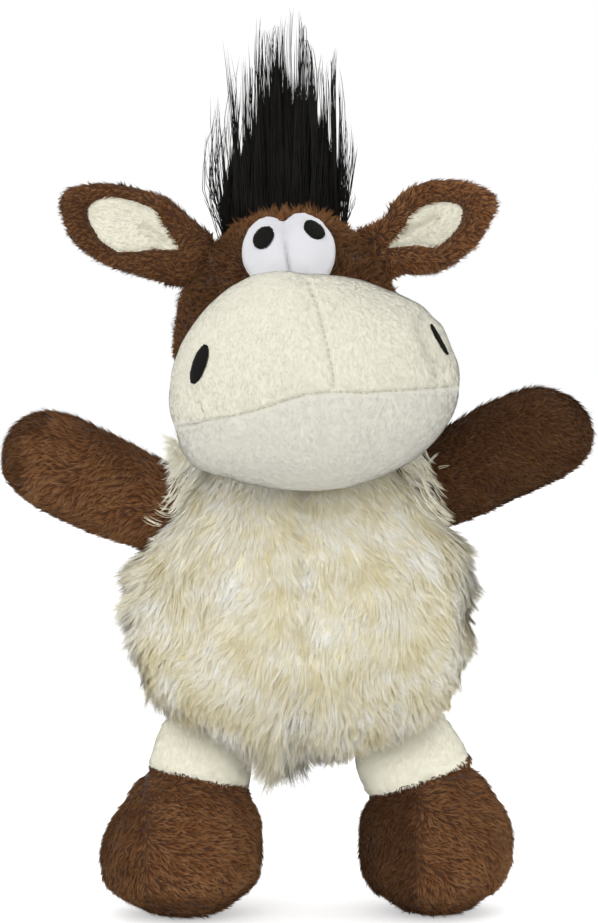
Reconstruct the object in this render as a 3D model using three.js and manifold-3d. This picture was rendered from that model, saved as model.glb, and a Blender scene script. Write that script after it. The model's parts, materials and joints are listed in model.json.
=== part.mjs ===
// A sewn and stuffed donkey dog toy with a squeaker in its body.
// Millimetres, +Z up. The donkey faces -Y, and left and right are the sides that a viewer in front of it sees.
// Heights are measured from the surface it stands on, and the finished group is centred on its footprint.
import * as THREE from "three";
import { ConvexGeometry } from "three/addons/geometries/ConvexGeometry.js";
import { mergeVertices } from "three/addons/utils/BufferGeometryUtils.js";
import Module from "manifold-3d";

const wasm = await Module();
wasm.setup();

// Cloth and clearances
const SEAM_GAP = 0.3; // between pieces sewn or laid face to face
const SEAT_GAP = 0.45; // round a limb's rounded root, so that it turns in its seat
const PLUSH = 3; // backing and laid pile of the short plush
const FUR = 6; // backing and laid pile of the long body fur
const VELOUR = 2.2; // backing and pile of the muzzle and cuff cloth

// Body: an egg with its top drawn in towards the neck
const BODY = { bottomZ: 58, widestZ: 110, topZ: 180, halfWidth: 61.5, fullness: 2.2 };
const BODY_DEPTH = 0.845; // half-depth as a share of half-width at the widest level
const BODY_DEPTH_AT_TOP = 0.8;
const BODY_LEAN = 9; // how far the top of the body is set back
const BODY_RIM_BELOW_NECK = 1.5;

// Neck: the head turns on a stuffed ball in the top of the body
const NECK_Z = 176;
const NECK_BALL = 18;
const HEAD_YAW = 7.5;
const HEAD_ROLL = -6.5;

// Head, with heights from the neck ball's centre
const HEAD = { bottomZ: 3, widestZ: 20, topZ: 84, halfWidth: 44, fullness: 2.3 };
const HEAD_DEPTH = 1.04;
const HEAD_SETBACK = 2;

// Muzzle: a wide ball in three panels, sewn to the front of the head
const MUZZLE = { halfWidth: 51.5, halfDepth: 36, halfHeight: 38.5, proud: 14.2, up: 22.5 };
const MOUTH_BELOW_CENTRE = 9;
const MOUTH_ARCH = 4;
const NOSTRIL = { halfWidth: 3, halfHeight: 7, around: 63, up: 11, tilt: 18 };

// Eyes: one padded white piece with two lobes, and a stitched pupil on each
const EYES = { proud: 2.2, up: 70, offset: -3, spacing: 17, thickness: 7.5 };
const EYE_RADIUS = { left: 9.5, right: 10 };
const STITCHING = 1; // thickness of the satin stitch of the pupils and nostrils
const PUPIL = {
  left: { halfWidth: 4.2, halfHeight: 3.7, across: -0.4, up: 2.8, tilt: 0 },
  right: { halfWidth: 4, halfHeight: 3.3, across: 1.3, up: 4.9, tilt: -30 },
};

// Ears: cupped leaves with an inset lining, gathered at the root
const EAR = { length: 52, halfWidth: 14, rootHalfWidth: 9, thickness: 5, cup: 3.5, setback: 4 };
const EAR_BULGE = 1.2; // how far the outline's curves are drawn out past the half-width
const EAR_POSE = {
  left: { seatUp: 72, rise: 31, turn: 8 },
  right: { seatUp: 65, rise: 16, turn: -32 },
};
const LINING = { margin: 5, thickness: 1.6, sunk: 0.4 };

// Mane: long hair on a small backing over the crown
const MANE = { halfWidth: 22.5, halfDepth: 15, height: 59, setback: 4, backing: 7 };
const LOCK = { count: 15, facets: 5, radius: 6.5, tipRadius: 0.8 };
const MANE_SPREAD = 0.18; // how far a lock leans out for each millimetre of height
const MANE_LEAN = 6; // degrees sideways, so that the hair stands upright on the tilted head
const OUTER_LOCKS_SHORTER = 0.42;
const UNEVEN_LOCKS = 0.1;

// Arms, from the shoulder ball's centre: they widen to the paw and end in a round tip
const ARM = { length: 67, rootRadius: 15.3, widest: 18.6, tipReach: 22, tipFullness: 2.3 };
const ARM_DEPTH = 0.86; // front to back, as a share of the height
const ARM_INSET = 3.5; // how far the shoulder ball's centre lies inside the body
const SHOULDER_REACH = 30; // the length of an arm that can come near the body
const ROOT_OPENING = 9; // how far from the ball's end the sewn root is left open
const ARM_POSE = { left: { seatZ: 150, rise: 22 }, right: { seatZ: 157, rise: 25 } };
const ARM_TRAVEL = { down: 30, up: 25 };

// Legs, with lengths down from the hip seam
const LEG = { hipX: 35, inset: 2.5, rootHalfWidth: 16, rootEdge: 5, cuffEnd: 18 };
const CUFF = { halfWidth: 19.2, halfDepth: 15, tongue: 12 };
const FOOT = { bottomZ: -69.5, widestZ: -42, topZ: -12, halfWidth: 29.5, fullness: 2.5 };
const SOLE_FULLNESS = 2.8; // of the foot's lower half, which is fuller
const FOOT_DEPTH = 1.16; // heel to toe, as a share of the width
const FOOT_SHAPING = { start: -15, end: -55 }; // from the ankle's section to the foot's
const TOE_REACH = 5;
const SOLE_FLAT = 0.5; // how deep the round sole is flattened where the toy stands
const SOLE_SEAM = 6; // height of the seam round the sole panel
const LEG_POSE = { left: { splay: 12, swing: -2 }, right: { splay: -18.5, swing: 4 } };
const LEG_TRAVEL = { forward: 50, back: 12 };

// Tail
const TAIL = { seatZ: 88, inset: 2, rootRadius: 6, endRadius: 3.8, length: 24, hang: 30 };
const TAIL_TRAVEL = { down: 5, up: 60 };
const TUFT = { length: 19, halfWidth: 6.5, tipRadius: 0.6 };

// Squeaker: a blow-moulded bellows with a whistle plug in its mouth
const BELLOWS = { radius: 21, waist: 17, wall: 1.2, pitch: 8, folds: 3, bottomZ: 99, mouth: 7 };
const PLUG = { flange: 10, flangeHeight: 2.4, stemLength: 5, airHole: 1.6 };
const POCKET_GAP = 1.5;

// How finely the round forms are faceted: inner walls and fillings are coarser than what shows
const FACETS = { body: 26, head: 24, neck: 22, limb: 16, small: 12, seat: 12, inside: 16, limbInside: 10 };
const STEPS = { body: 11, head: 10, neck: 11, limb: 8, root: 3, inside: 7, limbInside: 5, outline: 5 };

const WELD = 1e-4; // points closer than this are one
const BLOCK = 400; // a cutting block, larger than the toy
const OVERCUT = 10; // how far a cutting form runs past what it cuts

const SIDES = { left: -1, right: 1 };
const Z_AXIS = new THREE.Vector3(0, 0, 1);
const X_AXIS = new THREE.Vector3(1, 0, 0);
const Y_AXIS = new THREE.Vector3(0, 1, 0);
const degrees = THREE.MathUtils.degToRad;

// Cloths, as colour, roughness
const CLOTHS = {
  fur: [0xd9c9a4, 0.95],
  brown: [0x4f2f20, 0.95],
  cream: [0xe9e0c8, 0.95],
  white: [0xf4f4f2, 0.8],
  black: [0x0c0b0c, 0.7],
  filling: [0xf3f3ef, 1],
  bellows: [0xe6e8e6, 0.45],
  plug: [0xf0efe9, 0.4],
};

// A closed geometry as a solid that can be joined and cut
function toSolid(geometry) {
  const plain = geometry.index ? geometry.toNonIndexed() : geometry.clone();
  plain.deleteAttribute("normal");
  plain.deleteAttribute("uv");
  const merged = mergeVertices(plain, WELD);
  const corners = merged.index.array;
  const faces = [];
  for (let i = 0; i < corners.length; i += 3) {
    const [a, b, c] = [corners[i], corners[i + 1], corners[i + 2]];
    if (a !== b && b !== c && c !== a) faces.push(a, b, c);
  }
  const vertProperties = new Float32Array(merged.attributes.position.array);
  return new wasm.Manifold(
    new wasm.Mesh({ numProp: 3, vertProperties, triVerts: new Uint32Array(faces) }),
  );
}

function toGeometry(solid) {
  const mesh = solid.getMesh();
  const geometry = new THREE.BufferGeometry();
  const positions = new Float32Array(mesh.numVert * 3);
  for (let i = 0; i < mesh.numVert; i++) {
    positions.set(mesh.vertProperties.subarray(i * mesh.numProp, i * mesh.numProp + 3), i * 3);
  }
  geometry.setAttribute("position", new THREE.BufferAttribute(positions, 3));
  geometry.setIndex(new THREE.BufferAttribute(mesh.triVerts, 1));
  geometry.computeVertexNormals();
  return geometry;
}

// Moves each point of a geometry by a rule that changes the point in place
function reshape(geometry, rule) {
  const position = geometry.attributes.position;
  const point = new THREE.Vector3();
  for (let i = 0; i < position.count; i++) {
    point.fromBufferAttribute(position, i);
    rule(point);
    position.setXYZ(i, point.x, point.y, point.z);
  }
  return geometry;
}

// Turns a profile of (radius, height) points about Z
function revolve(points, facets) {
  return new THREE.LatheGeometry(points, facets).rotateX(Math.PI / 2);
}

function matrixOf(x, y, z, turnX = 0, turnY = 0, turnZ = 0) {
  const turn = new THREE.Euler(degrees(turnX), degrees(turnY), degrees(turnZ), "ZYX");
  return new THREE.Matrix4()
    .makeRotationFromEuler(turn)
    .setPosition(x, y, z);
}

// A block that holds everything on one side of a plane through a point
function halfSpace(point, normal) {
  const block = new THREE.BoxGeometry(BLOCK, BLOCK, BLOCK).translate(0, 0, BLOCK / 2);
  const turn = new THREE.Quaternion().setFromUnitVectors(Z_AXIS, normal.clone().normalize());
  return toSolid(block.applyQuaternion(turn).translate(point.x, point.y, point.z));
}

// Egg forms: a superellipse of revolution with its own reach below and above its widest level
function eggHalf(egg, isLower) {
  if (isLower) return { reach: egg.widestZ - egg.bottomZ, fullness: egg.lowerFullness ?? egg.fullness };
  return { reach: egg.topZ - egg.widestZ, fullness: egg.fullness };
}

function eggRadius(egg, z) {
  const { reach, fullness } = eggHalf(egg, z < egg.widestZ);
  const share = Math.min(1, Math.abs(z - egg.widestZ) / reach);
  return egg.halfWidth * (1 - share ** fullness) ** (1 / fullness);
}

function eggProfile(egg, steps) {
  const points = [];
  for (let i = 0; i <= steps; i++) {
    const angle = Math.PI * (i / steps - 0.5);
    const { reach, fullness } = eggHalf(egg, angle < 0);
    const power = 2 / fullness;
    const radius = i % steps === 0 ? 0 : egg.halfWidth * Math.cos(angle) ** power;
    const height = Math.sign(angle) * reach * Math.abs(Math.sin(angle)) ** power;
    points.push(new THREE.Vector2(radius, egg.widestZ + height));
  }
  return points;
}

function fineness(kind, wall) {
  if (wall <= 0) return { facets: FACETS[kind], steps: STEPS[kind] };
  const inner = kind === "limb" ? "limbInside" : "inside";
  return { facets: FACETS[inner], steps: STEPS[inner] };
}

// The same egg, smaller all round by a wall, or larger by a negative one
function inset(egg, wall) {
  return {
    ...egg,
    bottomZ: egg.bottomZ + wall,
    topZ: egg.topZ - wall,
    halfWidth: egg.halfWidth - wall,
  };
}

// Body forms
function bodyShare(z) {
  return THREE.MathUtils.clamp((z - BODY.widestZ) / (NECK_Z - BODY.widestZ), 0, 1);
}

function bodyCentreY(z) {
  return BODY_LEAN * bodyShare(z);
}

function bodyForm(wall) {
  const egg = inset(BODY, wall);
  const { facets, steps } = fineness("body", wall);
  const depthLost = wall * (1 - BODY_DEPTH); // keeps the wall as thick in front as at the sides
  return reshape(revolve(eggProfile(egg, steps), facets), (p) => {
    const depth = THREE.MathUtils.lerp(BODY_DEPTH, BODY_DEPTH_AT_TOP, bodyShare(p.z));
    const scale = depth * (1 - depthLost / (BODY.halfWidth * BODY_DEPTH));
    p.y = p.y * scale + bodyCentreY(p.z);
  });
}

// The height of the body's underside at a distance from its middle
function bodyUndersideZ(x) {
  const share = (1 - (Math.abs(x) / BODY.halfWidth) ** BODY.fullness) ** (1 / BODY.fullness);
  return BODY.widestZ - (BODY.widestZ - BODY.bottomZ) * share;
}

// Head forms, about the neck ball's centre
const headFrame = matrixOf(0, bodyCentreY(NECK_Z), NECK_Z, 0, HEAD_ROLL, HEAD_YAW);

function headForm(wall) {
  const { facets, steps } = fineness("head", wall);
  return reshape(revolve(eggProfile(inset(HEAD, wall), steps), facets), (p) => {
    p.y = p.y * HEAD_DEPTH + HEAD_SETBACK;
  });
}

// How far the head's front lies from the neck's axis at a height
function headFront(z) {
  return eggRadius(HEAD, z) * HEAD_DEPTH - HEAD_SETBACK;
}

function neckBall(extra) {
  const { facets, steps } = fineness("neck", -extra);
  return new THREE.SphereGeometry(NECK_BALL + extra, facets, steps).rotateX(Math.PI / 2);
}

// A faceted round seat is made this much larger, so that its facets clear the round in it
function facetAllowance(facets) {
  return 1 / Math.cos(Math.PI / facets) ** 2;
}

const MUZZLE_FORWARD = headFront(MUZZLE.up) + MUZZLE.proud;

function muzzleForm(wall) {
  const { facets, steps } = fineness("body", wall);
  return new THREE.SphereGeometry(1, facets, steps + 1)
    .scale(MUZZLE.halfWidth - wall, MUZZLE.halfDepth - wall, MUZZLE.halfHeight - wall)
    .translate(0, -MUZZLE_FORWARD, MUZZLE.up);
}

// The mouth seam's arch, as a slab that takes in everything below the seam
function belowMouth(gap) {
  const half = MUZZLE.halfWidth + OVERCUT;
  const seamZ = MUZZLE.up - MOUTH_BELOW_CENTRE - gap;
  const deepest = MUZZLE.up - MUZZLE.halfHeight - OVERCUT;
  const outline = new THREE.Shape();
  outline.moveTo(-half, deepest);
  outline.lineTo(half, deepest);
  outline.lineTo(half, seamZ);
  outline.quadraticCurveTo(0, seamZ + 2 * MOUTH_ARCH, -half, seamZ);
  const slab = new THREE.ExtrudeGeometry(outline, {
    depth: 2 * half,
    bevelEnabled: false,
    curveSegments: STEPS.outline,
  });
  return toSolid(slab.rotateX(Math.PI / 2).translate(0, half - MUZZLE_FORWARD, 0));
}

function makeHeadSolids() {
  const head = toSolid(headForm(0)).add(toSolid(neckBall(0)));
  const headInside = toSolid(headForm(PLUSH)).add(toSolid(neckBall(-PLUSH)));
  const muzzleShell = toSolid(muzzleForm(0))
    .subtract(toSolid(muzzleForm(VELOUR)))
    .subtract(toSolid(headForm(-SEAM_GAP)));
  const neckMouth = halfSpace(new THREE.Vector3(0, 0, PLUSH - NECK_BALL), Z_AXIS.clone().negate());
  const headCover = head
    .subtract(headInside)
    .subtract(toSolid(muzzleForm(-SEAM_GAP)))
    .subtract(neckMouth);
  const filling = toSolid(headForm(PLUSH + SEAM_GAP))
    .add(toSolid(neckBall(-PLUSH - SEAM_GAP)))
    .add(toSolid(muzzleForm(VELOUR + SEAM_GAP)));
  const seamHalf = SEAM_GAP / 2;
  const upper = muzzleShell.subtract(belowMouth(-SEAM_GAP));
  return {
    head_cover: headCover,
    head_filling: filling,
    muzzle_left: upper.subtract(halfSpace(new THREE.Vector3(-seamHalf, 0, 0), X_AXIS)),
    muzzle_right: upper.intersect(halfSpace(new THREE.Vector3(seamHalf, 0, 0), X_AXIS)),
    muzzle_jaw: muzzleShell.intersect(belowMouth(0)),
  };
}

// A stitched patch that lies on a surface: an elliptical column keeps its part of a thin skin
function stitchedPatch(skin, size, frame) {
  const column = new THREE.CylinderGeometry(1, 1, 3 * OVERCUT, FACETS.small)
    .scale(size.halfWidth, 1, size.halfHeight)
    .rotateY(degrees(size.tilt));
  return skin.intersect(toSolid(column.applyMatrix4(frame)));
}

function muzzleSkin() {
  return toSolid(muzzleForm(-SEAM_GAP - STITCHING)).subtract(toSolid(muzzleForm(-SEAM_GAP)));
}

function makeNostril(side) {
  const around = degrees(NOSTRIL.around);
  const x = side * MUZZLE.halfWidth * Math.sin(around);
  const y = -MUZZLE_FORWARD - MUZZLE.halfDepth * Math.cos(around);
  const facing = Math.atan2(x / MUZZLE.halfWidth ** 2, -(y + MUZZLE_FORWARD) / MUZZLE.halfDepth ** 2);
  const frame = matrixOf(x, y, MUZZLE.up + NOSTRIL.up, 0, 0, THREE.MathUtils.radToDeg(facing));
  const size = { ...NOSTRIL, tilt: -side * NOSTRIL.tilt };
  return stitchedPatch(muzzleSkin(), size, frame);
}

// Eye lobes, each a flattened ball
function eyeCentre(side) {
  const forward = headFront(EYES.up) + EYES.proud;
  return new THREE.Vector3(EYES.offset + (side * EYES.spacing) / 2, -forward, EYES.up);
}

function eyeLobe(name, extra) {
  const centre = eyeCentre(SIDES[name]);
  const radius = EYE_RADIUS[name] + extra;
  return new THREE.SphereGeometry(1, FACETS.limb, STEPS.limb)
    .scale(radius, EYES.thickness + extra, radius)
    .translate(centre.x, centre.y, centre.z);
}

function bothLobes(extra) {
  return toSolid(eyeLobe("left", extra)).add(toSolid(eyeLobe("right", extra)));
}

function makeEyes() {
  const cleared = toSolid(headForm(-SEAM_GAP)).add(toSolid(muzzleForm(-SEAM_GAP)));
  return bothLobes(0).subtract(cleared);
}

function makePupil(name) {
  const pupil = PUPIL[name];
  const centre = eyeCentre(SIDES[name]);
  const skin = bothLobes(SEAM_GAP + STITCHING).subtract(bothLobes(SEAM_GAP));
  const inFront = centre.y - 1.5 * OVERCUT;
  const frame = matrixOf(centre.x + pupil.across, inFront, centre.z + pupil.up);
  return stitchedPatch(skin, pupil, frame);
}

// Ears lie in the XZ plane with the root at the origin and the tip at +X.
// The round edge at the root is what an ear turns on.
const EAR_EDGE = 2 * EAR.rootHalfWidth - EAR.thickness / 2;

function earOutline(margin) {
  const root = EAR.rootHalfWidth - margin / 2;
  const wide = (EAR.halfWidth - margin) * EAR_BULGE;
  const tip = EAR.length - margin * EAR_BULGE;
  const near = EAR.length / 4;
  const outline = new THREE.Shape();
  outline.moveTo(margin, -root);
  outline.bezierCurveTo(near, -wide, tip, -wide, tip, 0);
  outline.bezierCurveTo(tip, wide, near, wide, margin, root);
  return outline;
}

function cupEar(p) {
  p.y += EAR.cup * (1 - (p.z / EAR.halfWidth) ** 2) * Math.sin((Math.PI * p.x) / EAR.length);
}

// A cupped pad with the ear's outline, a margin in from its edge, and its front face at a level
function earPad(margin, thickness, front) {
  const bevel = Math.min(thickness, EAR.thickness) / 3;
  const pad = new THREE.ExtrudeGeometry(earOutline(margin + bevel), {
    depth: thickness - 2 * bevel,
    bevelThickness: bevel,
    bevelSize: bevel,
    bevelSegments: 1,
    curveSegments: STEPS.outline,
  });
  return reshape(
    pad.translate(0, 0, bevel).rotateX(Math.PI / 2).translate(0, front + thickness, 0),
    cupEar,
  );
}

function makeEar(side) {
  const face = -EAR.thickness / 2;
  const liningFace = face + LINING.sunk;
  const linedDepth = LINING.thickness + OVERCUT;
  const edgeRadius = EAR.thickness / 2;
  const rootEdge = new THREE.CylinderGeometry(edgeRadius, edgeRadius, EAR_EDGE, FACETS.small)
    .rotateX(Math.PI / 2);
  const pad = toSolid(earPad(0, EAR.thickness, face)).add(toSolid(rootEdge));
  const recess = earPad(LINING.margin - SEAM_GAP, linedDepth + SEAM_GAP, liningFace - OVERCUT);
  const lining = toSolid(earPad(LINING.margin, linedDepth, liningFace - OVERCUT));
  const inFront = toSolid(earPad(LINING.margin / 2, OVERCUT, liningFace - OVERCUT));
  const solids = {
    cover: pad.subtract(toSolid(recess)),
    lining: lining.subtract(inFront),
  };
  return Object.fromEntries(
    Object.entries(solids).map(([name, solid]) => [name, mirrored(solid, side)]),
  );
}

// Mirrors a solid in the YZ plane for the left side and keeps its faces outwards
function mirrored(solid, side) {
  if (side > 0) return solid;
  const geometry = toGeometry(solid).scale(-1, 1, 1);
  const corners = geometry.index.array;
  for (let i = 0; i < corners.length; i += 3) {
    [corners[i + 1], corners[i + 2]] = [corners[i + 2], corners[i + 1]];
  }
  return toSolid(geometry);
}

// How far out an ear's root edge lies so that it just clears the head along its whole length
function earSeatX(pose) {
  const rise = degrees(pose.rise);
  let seatX = 0;
  for (let i = 0; i <= STEPS.outline; i++) {
    const along = EAR_EDGE * (i / STEPS.outline - 0.5);
    const headX = eggRadius(HEAD, pose.seatUp + along * Math.cos(rise));
    seatX = Math.max(seatX, headX + along * Math.sin(rise));
  }
  return seatX + SEAM_GAP + EAR.thickness / 2;
}

function earFrame(name) {
  const side = SIDES[name];
  const pose = EAR_POSE[name];
  return matrixOf(side * earSeatX(pose), EAR.setback, pose.seatUp, 0, -side * pose.rise, pose.turn);
}

// Mane: tapered locks from one backing, tallest in the middle
function makeMane() {
  const goldenTurn = Math.PI * (3 - Math.sqrt(5));
  let mane = toSolid(
    new THREE.SphereGeometry(1, FACETS.limb, STEPS.limb)
      .scale(MANE.halfWidth, MANE.halfDepth, MANE.backing)
      .translate(0, MANE.setback, HEAD.topZ),
  );
  for (let i = 0; i < LOCK.count; i++) {
    const out = Math.sqrt((i + 0.5) / LOCK.count);
    const x = (MANE.halfWidth - LOCK.radius) * out * Math.cos(i * goldenTurn);
    const y = (MANE.halfDepth - LOCK.radius) * out * Math.sin(i * goldenTurn);
    const shorter = OUTER_LOCKS_SHORTER * out ** 2 + UNEVEN_LOCKS * (i % 3) * out;
    const height = MANE.height * (1 - shorter);
    const lock = new THREE.CylinderGeometry(LOCK.tipRadius, LOCK.radius, height, LOCK.facets)
      .rotateX(Math.PI / 2)
      .translate(0, 0, height / 2);
    const sideways = x * MANE_SPREAD + height * Math.tan(degrees(MANE_LEAN));
    const lean = new THREE.Vector3(sideways, y * MANE_SPREAD, height).normalize();
    lock.applyQuaternion(new THREE.Quaternion().setFromUnitVectors(Z_AXIS, lean));
    mane = mane.add(toSolid(lock.translate(x, y + MANE.setback, HEAD.topZ)));
  }
  return mane.subtract(toSolid(headForm(-SEAM_GAP)));
}

// Arms lie along X from the shoulder ball's centre, and are a little flat from front to back
function armRadius(x) {
  const paw = ARM.length - ARM.tipReach;
  const share = THREE.MathUtils.clamp((x - paw) / ARM.tipReach, 0, 1);
  const width = THREE.MathUtils.lerp(
    ARM.rootRadius,
    ARM.widest,
    THREE.MathUtils.smoothstep(x, 0, paw),
  );
  return width * (1 - share ** ARM.tipFullness) ** (1 / ARM.tipFullness);
}

// The round end of a limb's root, up to its widest level
function roundedRoot(radius) {
  const points = [];
  for (let i = 0; i < STEPS.root; i++) {
    const angle = (Math.PI / 2) * (i / STEPS.root - 1);
    points.push(new THREE.Vector2(i ? radius * Math.cos(angle) : 0, radius * Math.sin(angle)));
  }
  return points;
}

function armForm(extra) {
  const { facets, steps } = fineness("limb", -extra);
  const points = roundedRoot(ARM.rootRadius + extra);
  for (let i = 0; i <= steps; i++) {
    const x = ARM.length * Math.sin(((i / steps) * Math.PI) / 2);
    const radius = i < steps ? armRadius(x) + extra : 0;
    points.push(new THREE.Vector2(radius, (x * (ARM.length + extra)) / ARM.length));
  }
  return revolve(points, facets)
    .rotateY(Math.PI / 2)
    .scale(1, ARM_DEPTH, 1);
}

// The part of an arm that can reach the body, with its clearance
function armSeatForm() {
  const radiusAt = (x) => (armRadius(x) + SEAT_GAP) / Math.cos(Math.PI / FACETS.seat);
  const points = roundedRoot(radiusAt(0));
  points.push(new THREE.Vector2(radiusAt(0), 0));
  points.push(new THREE.Vector2(radiusAt(SHOULDER_REACH / 2), SHOULDER_REACH / 2));
  points.push(new THREE.Vector2(radiusAt(SHOULDER_REACH), SHOULDER_REACH));
  points.push(new THREE.Vector2(0, SHOULDER_REACH));
  return revolve(points, FACETS.seat)
    .rotateY(Math.PI / 2)
    .scale(1, ARM_DEPTH, 1);
}

function armFrame(name) {
  const { seatZ, rise } = ARM_POSE[name];
  const side = SIDES[name];
  const seatX = eggRadius(BODY, seatZ) - ARM_INSET;
  const along = side > 0 ? -rise : 180 + rise;
  return matrixOf(side * seatX, bodyCentreY(seatZ), seatZ, 0, along, 0);
}

// Legs hang along -Z from the hip seam, where their root is pressed flat along X
function cuffHalfDepth(down) {
  if (down < 0) return Math.sqrt(Math.max(0, LEG.rootEdge ** 2 - down ** 2));
  const share = Math.min(1, down / LEG.cuffEnd);
  return THREE.MathUtils.lerp(LEG.rootEdge, CUFF.halfDepth, Math.sin((share * Math.PI) / 2));
}

function cuffHalfWidth(down) {
  const share = THREE.MathUtils.clamp(down / LEG.cuffEnd, 0, 1);
  return THREE.MathUtils.lerp(LEG.rootHalfWidth, CUFF.halfWidth, share);
}

// The cuff from its root edge down to a level, with a wall taken off or a clearance added
function cuffForm(wall, lowest, facets = fineness("limb", wall).facets) {
  const steps = STEPS.root;
  const top = LEG.rootEdge - wall;
  const levels = [];
  for (let i = 1; i <= steps; i++) levels.push(-top * Math.cos(((i / steps) * Math.PI) / 2));
  for (let i = 1; i <= steps; i++) levels.push((lowest * i) / steps);
  const points = [new THREE.Vector2(0, -lowest)];
  for (const down of levels.reverse()) {
    points.push(new THREE.Vector2(cuffHalfWidth(down) - wall, -down));
  }
  points.push(new THREE.Vector2(0, top));
  return reshape(revolve(points, facets), (p) => {
    const down = -p.z;
    const rounded = Math.sqrt(Math.max(0, top ** 2 - down ** 2));
    const depth = down < 0 ? rounded : cuffHalfDepth(down) - wall;
    p.y *= depth / (cuffHalfWidth(down) - wall);
  });
}

// The foot swells from the ankle's section, and its lower part stays level though the leg is splayed
function footForm(wall, name) {
  const { facets, steps } = fineness("limb", wall);
  const egg = inset({ ...FOOT, lowerFullness: SOLE_FULLNESS }, wall);
  const profile = eggProfile(egg, steps);
  const flatZ = egg.bottomZ + SOLE_FLAT;
  profile.splice(1, 0, new THREE.Vector2(eggRadius(egg, flatZ), flatZ));
  const level = new THREE.Quaternion().setFromRotationMatrix(legTurn(name).invert());
  const turn = new THREE.Quaternion();
  return reshape(revolve(profile, facets), (p) => {
    const share = THREE.MathUtils.smoothstep(-p.z, -FOOT_SHAPING.start, -FOOT_SHAPING.end);
    const ankle = CUFF.halfDepth / CUFF.halfWidth;
    p.y = p.y * THREE.MathUtils.lerp(ankle, FOOT_DEPTH, share) - TOE_REACH * share;
    p.z -= FOOT.widestZ;
    p.applyQuaternion(turn.identity().slerp(level, share));
    p.z += FOOT.widestZ;
  });
}

function legTurn(name) {
  const { splay, swing } = LEG_POSE[name];
  return matrixOf(0, 0, 0, swing, splay, 0);
}

// How far a leg's round sole reaches down from its hip
function legReach(name) {
  const position = footForm(0, name).applyMatrix4(legTurn(name)).attributes.position;
  let lowest = 0;
  for (let i = 0; i < position.count; i++) lowest = Math.min(lowest, position.getZ(i));
  return -lowest;
}

// Both round soles come down to one level, so the less splayed leg is set a little higher
const LEG_REACH = { left: legReach("left"), right: legReach("right") };
const HIP_Z = bodyUndersideZ(LEG.hipX) + LEG.inset;
const SOLE_Z = HIP_Z - (LEG_REACH.left + LEG_REACH.right) / 2;

function legFrame(name) {
  const place = new THREE.Vector3(SIDES[name] * LEG.hipX, 0, SOLE_Z + LEG_REACH[name]);
  return legTurn(name).setPosition(place);
}

// Everything above a level over the sole's lowest point, in a leg's own frame
function aboveSole(name, height) {
  const toLeg = legFrame(name).invert();
  const point = new THREE.Vector3(0, 0, SOLE_Z + height).applyMatrix4(toLeg);
  const up = Z_AXIS.clone().transformDirection(toLeg);
  return halfSpace(point, up);
}

function belowHip(down) {
  return halfSpace(new THREE.Vector3(0, 0, -down), Z_AXIS.clone().negate());
}

function makeLeg(name) {
  const reach = LEG.cuffEnd + CUFF.tongue;
  const footTop = belowHip(LEG.cuffEnd + SEAM_GAP);
  const cuffInside = toSolid(cuffForm(VELOUR, reach));
  const shoe = toSolid(footForm(0, name))
    .intersect(footTop)
    .intersect(aboveSole(name, SOLE_FLAT))
    .subtract(toSolid(footForm(PLUSH, name)))
    .subtract(cuffInside);
  return {
    cuff: toSolid(cuffForm(0, reach)).subtract(cuffInside).subtract(belowHip(LEG.cuffEnd)),
    foot: shoe.intersect(aboveSole(name, SOLE_SEAM + SEAM_GAP)),
    sole: shoe.subtract(aboveSole(name, SOLE_SEAM)),
    filling: toSolid(cuffForm(VELOUR + SEAM_GAP, reach))
      .add(toSolid(footForm(PLUSH + SEAM_GAP, name)).intersect(footTop)),
  };
}

// Tail hangs along -Z from its root ball
function tailForm(extra, length) {
  const end = THREE.MathUtils.lerp(TAIL.rootRadius, TAIL.endRadius, length / TAIL.length);
  const points = [new THREE.Vector2(0, -length), new THREE.Vector2(end + extra, -length)];
  const root = TAIL.rootRadius + extra;
  for (let i = 0; i < STEPS.root; i++) {
    const angle = (Math.PI / 2) * (i / STEPS.root);
    points.push(new THREE.Vector2(root * Math.cos(angle), root * Math.sin(angle)));
  }
  points.push(new THREE.Vector2(0, root));
  return revolve(points, FACETS.small);
}

function tuftForm() {
  const top = -TAIL.length - SEAM_GAP;
  const shape = new THREE.SplineCurve([
    new THREE.Vector2(TUFT.tipRadius, top - TUFT.length),
    new THREE.Vector2(TUFT.halfWidth, top - TUFT.length / 2),
    new THREE.Vector2(TAIL.endRadius, top),
  ]);
  const points = shape.getPoints(STEPS.outline);
  return revolve(
    [new THREE.Vector2(0, top - TUFT.length), ...points, new THREE.Vector2(0, top)],
    FACETS.small,
  );
}

function tailFrame() {
  const backY = bodyCentreY(TAIL.seatZ) + eggRadius(BODY, TAIL.seatZ) * BODY_DEPTH;
  return matrixOf(0, backY - TAIL.inset, TAIL.seatZ, TAIL.hang, 0, 0);
}

// Squeaker
const BELLOWS_TOP = BELLOWS.bottomZ + BELLOWS.pitch * BELLOWS.folds + BELLOWS.wall;

function bellowsProfile(wall, floorZ) {
  const points = [];
  const rings = BELLOWS.folds * 2;
  for (let i = 0; i <= rings; i++) {
    const share = i / rings;
    const swing = Math.cos(share * BELLOWS.folds * 2 * Math.PI);
    const middle = (BELLOWS.radius + BELLOWS.waist) / 2;
    const radius = middle - ((BELLOWS.radius - BELLOWS.waist) / 2) * swing - wall;
    const height = THREE.MathUtils.lerp(floorZ, BELLOWS_TOP - wall, share);
    points.push(new THREE.Vector2(radius, height));
  }
  return points;
}

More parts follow.
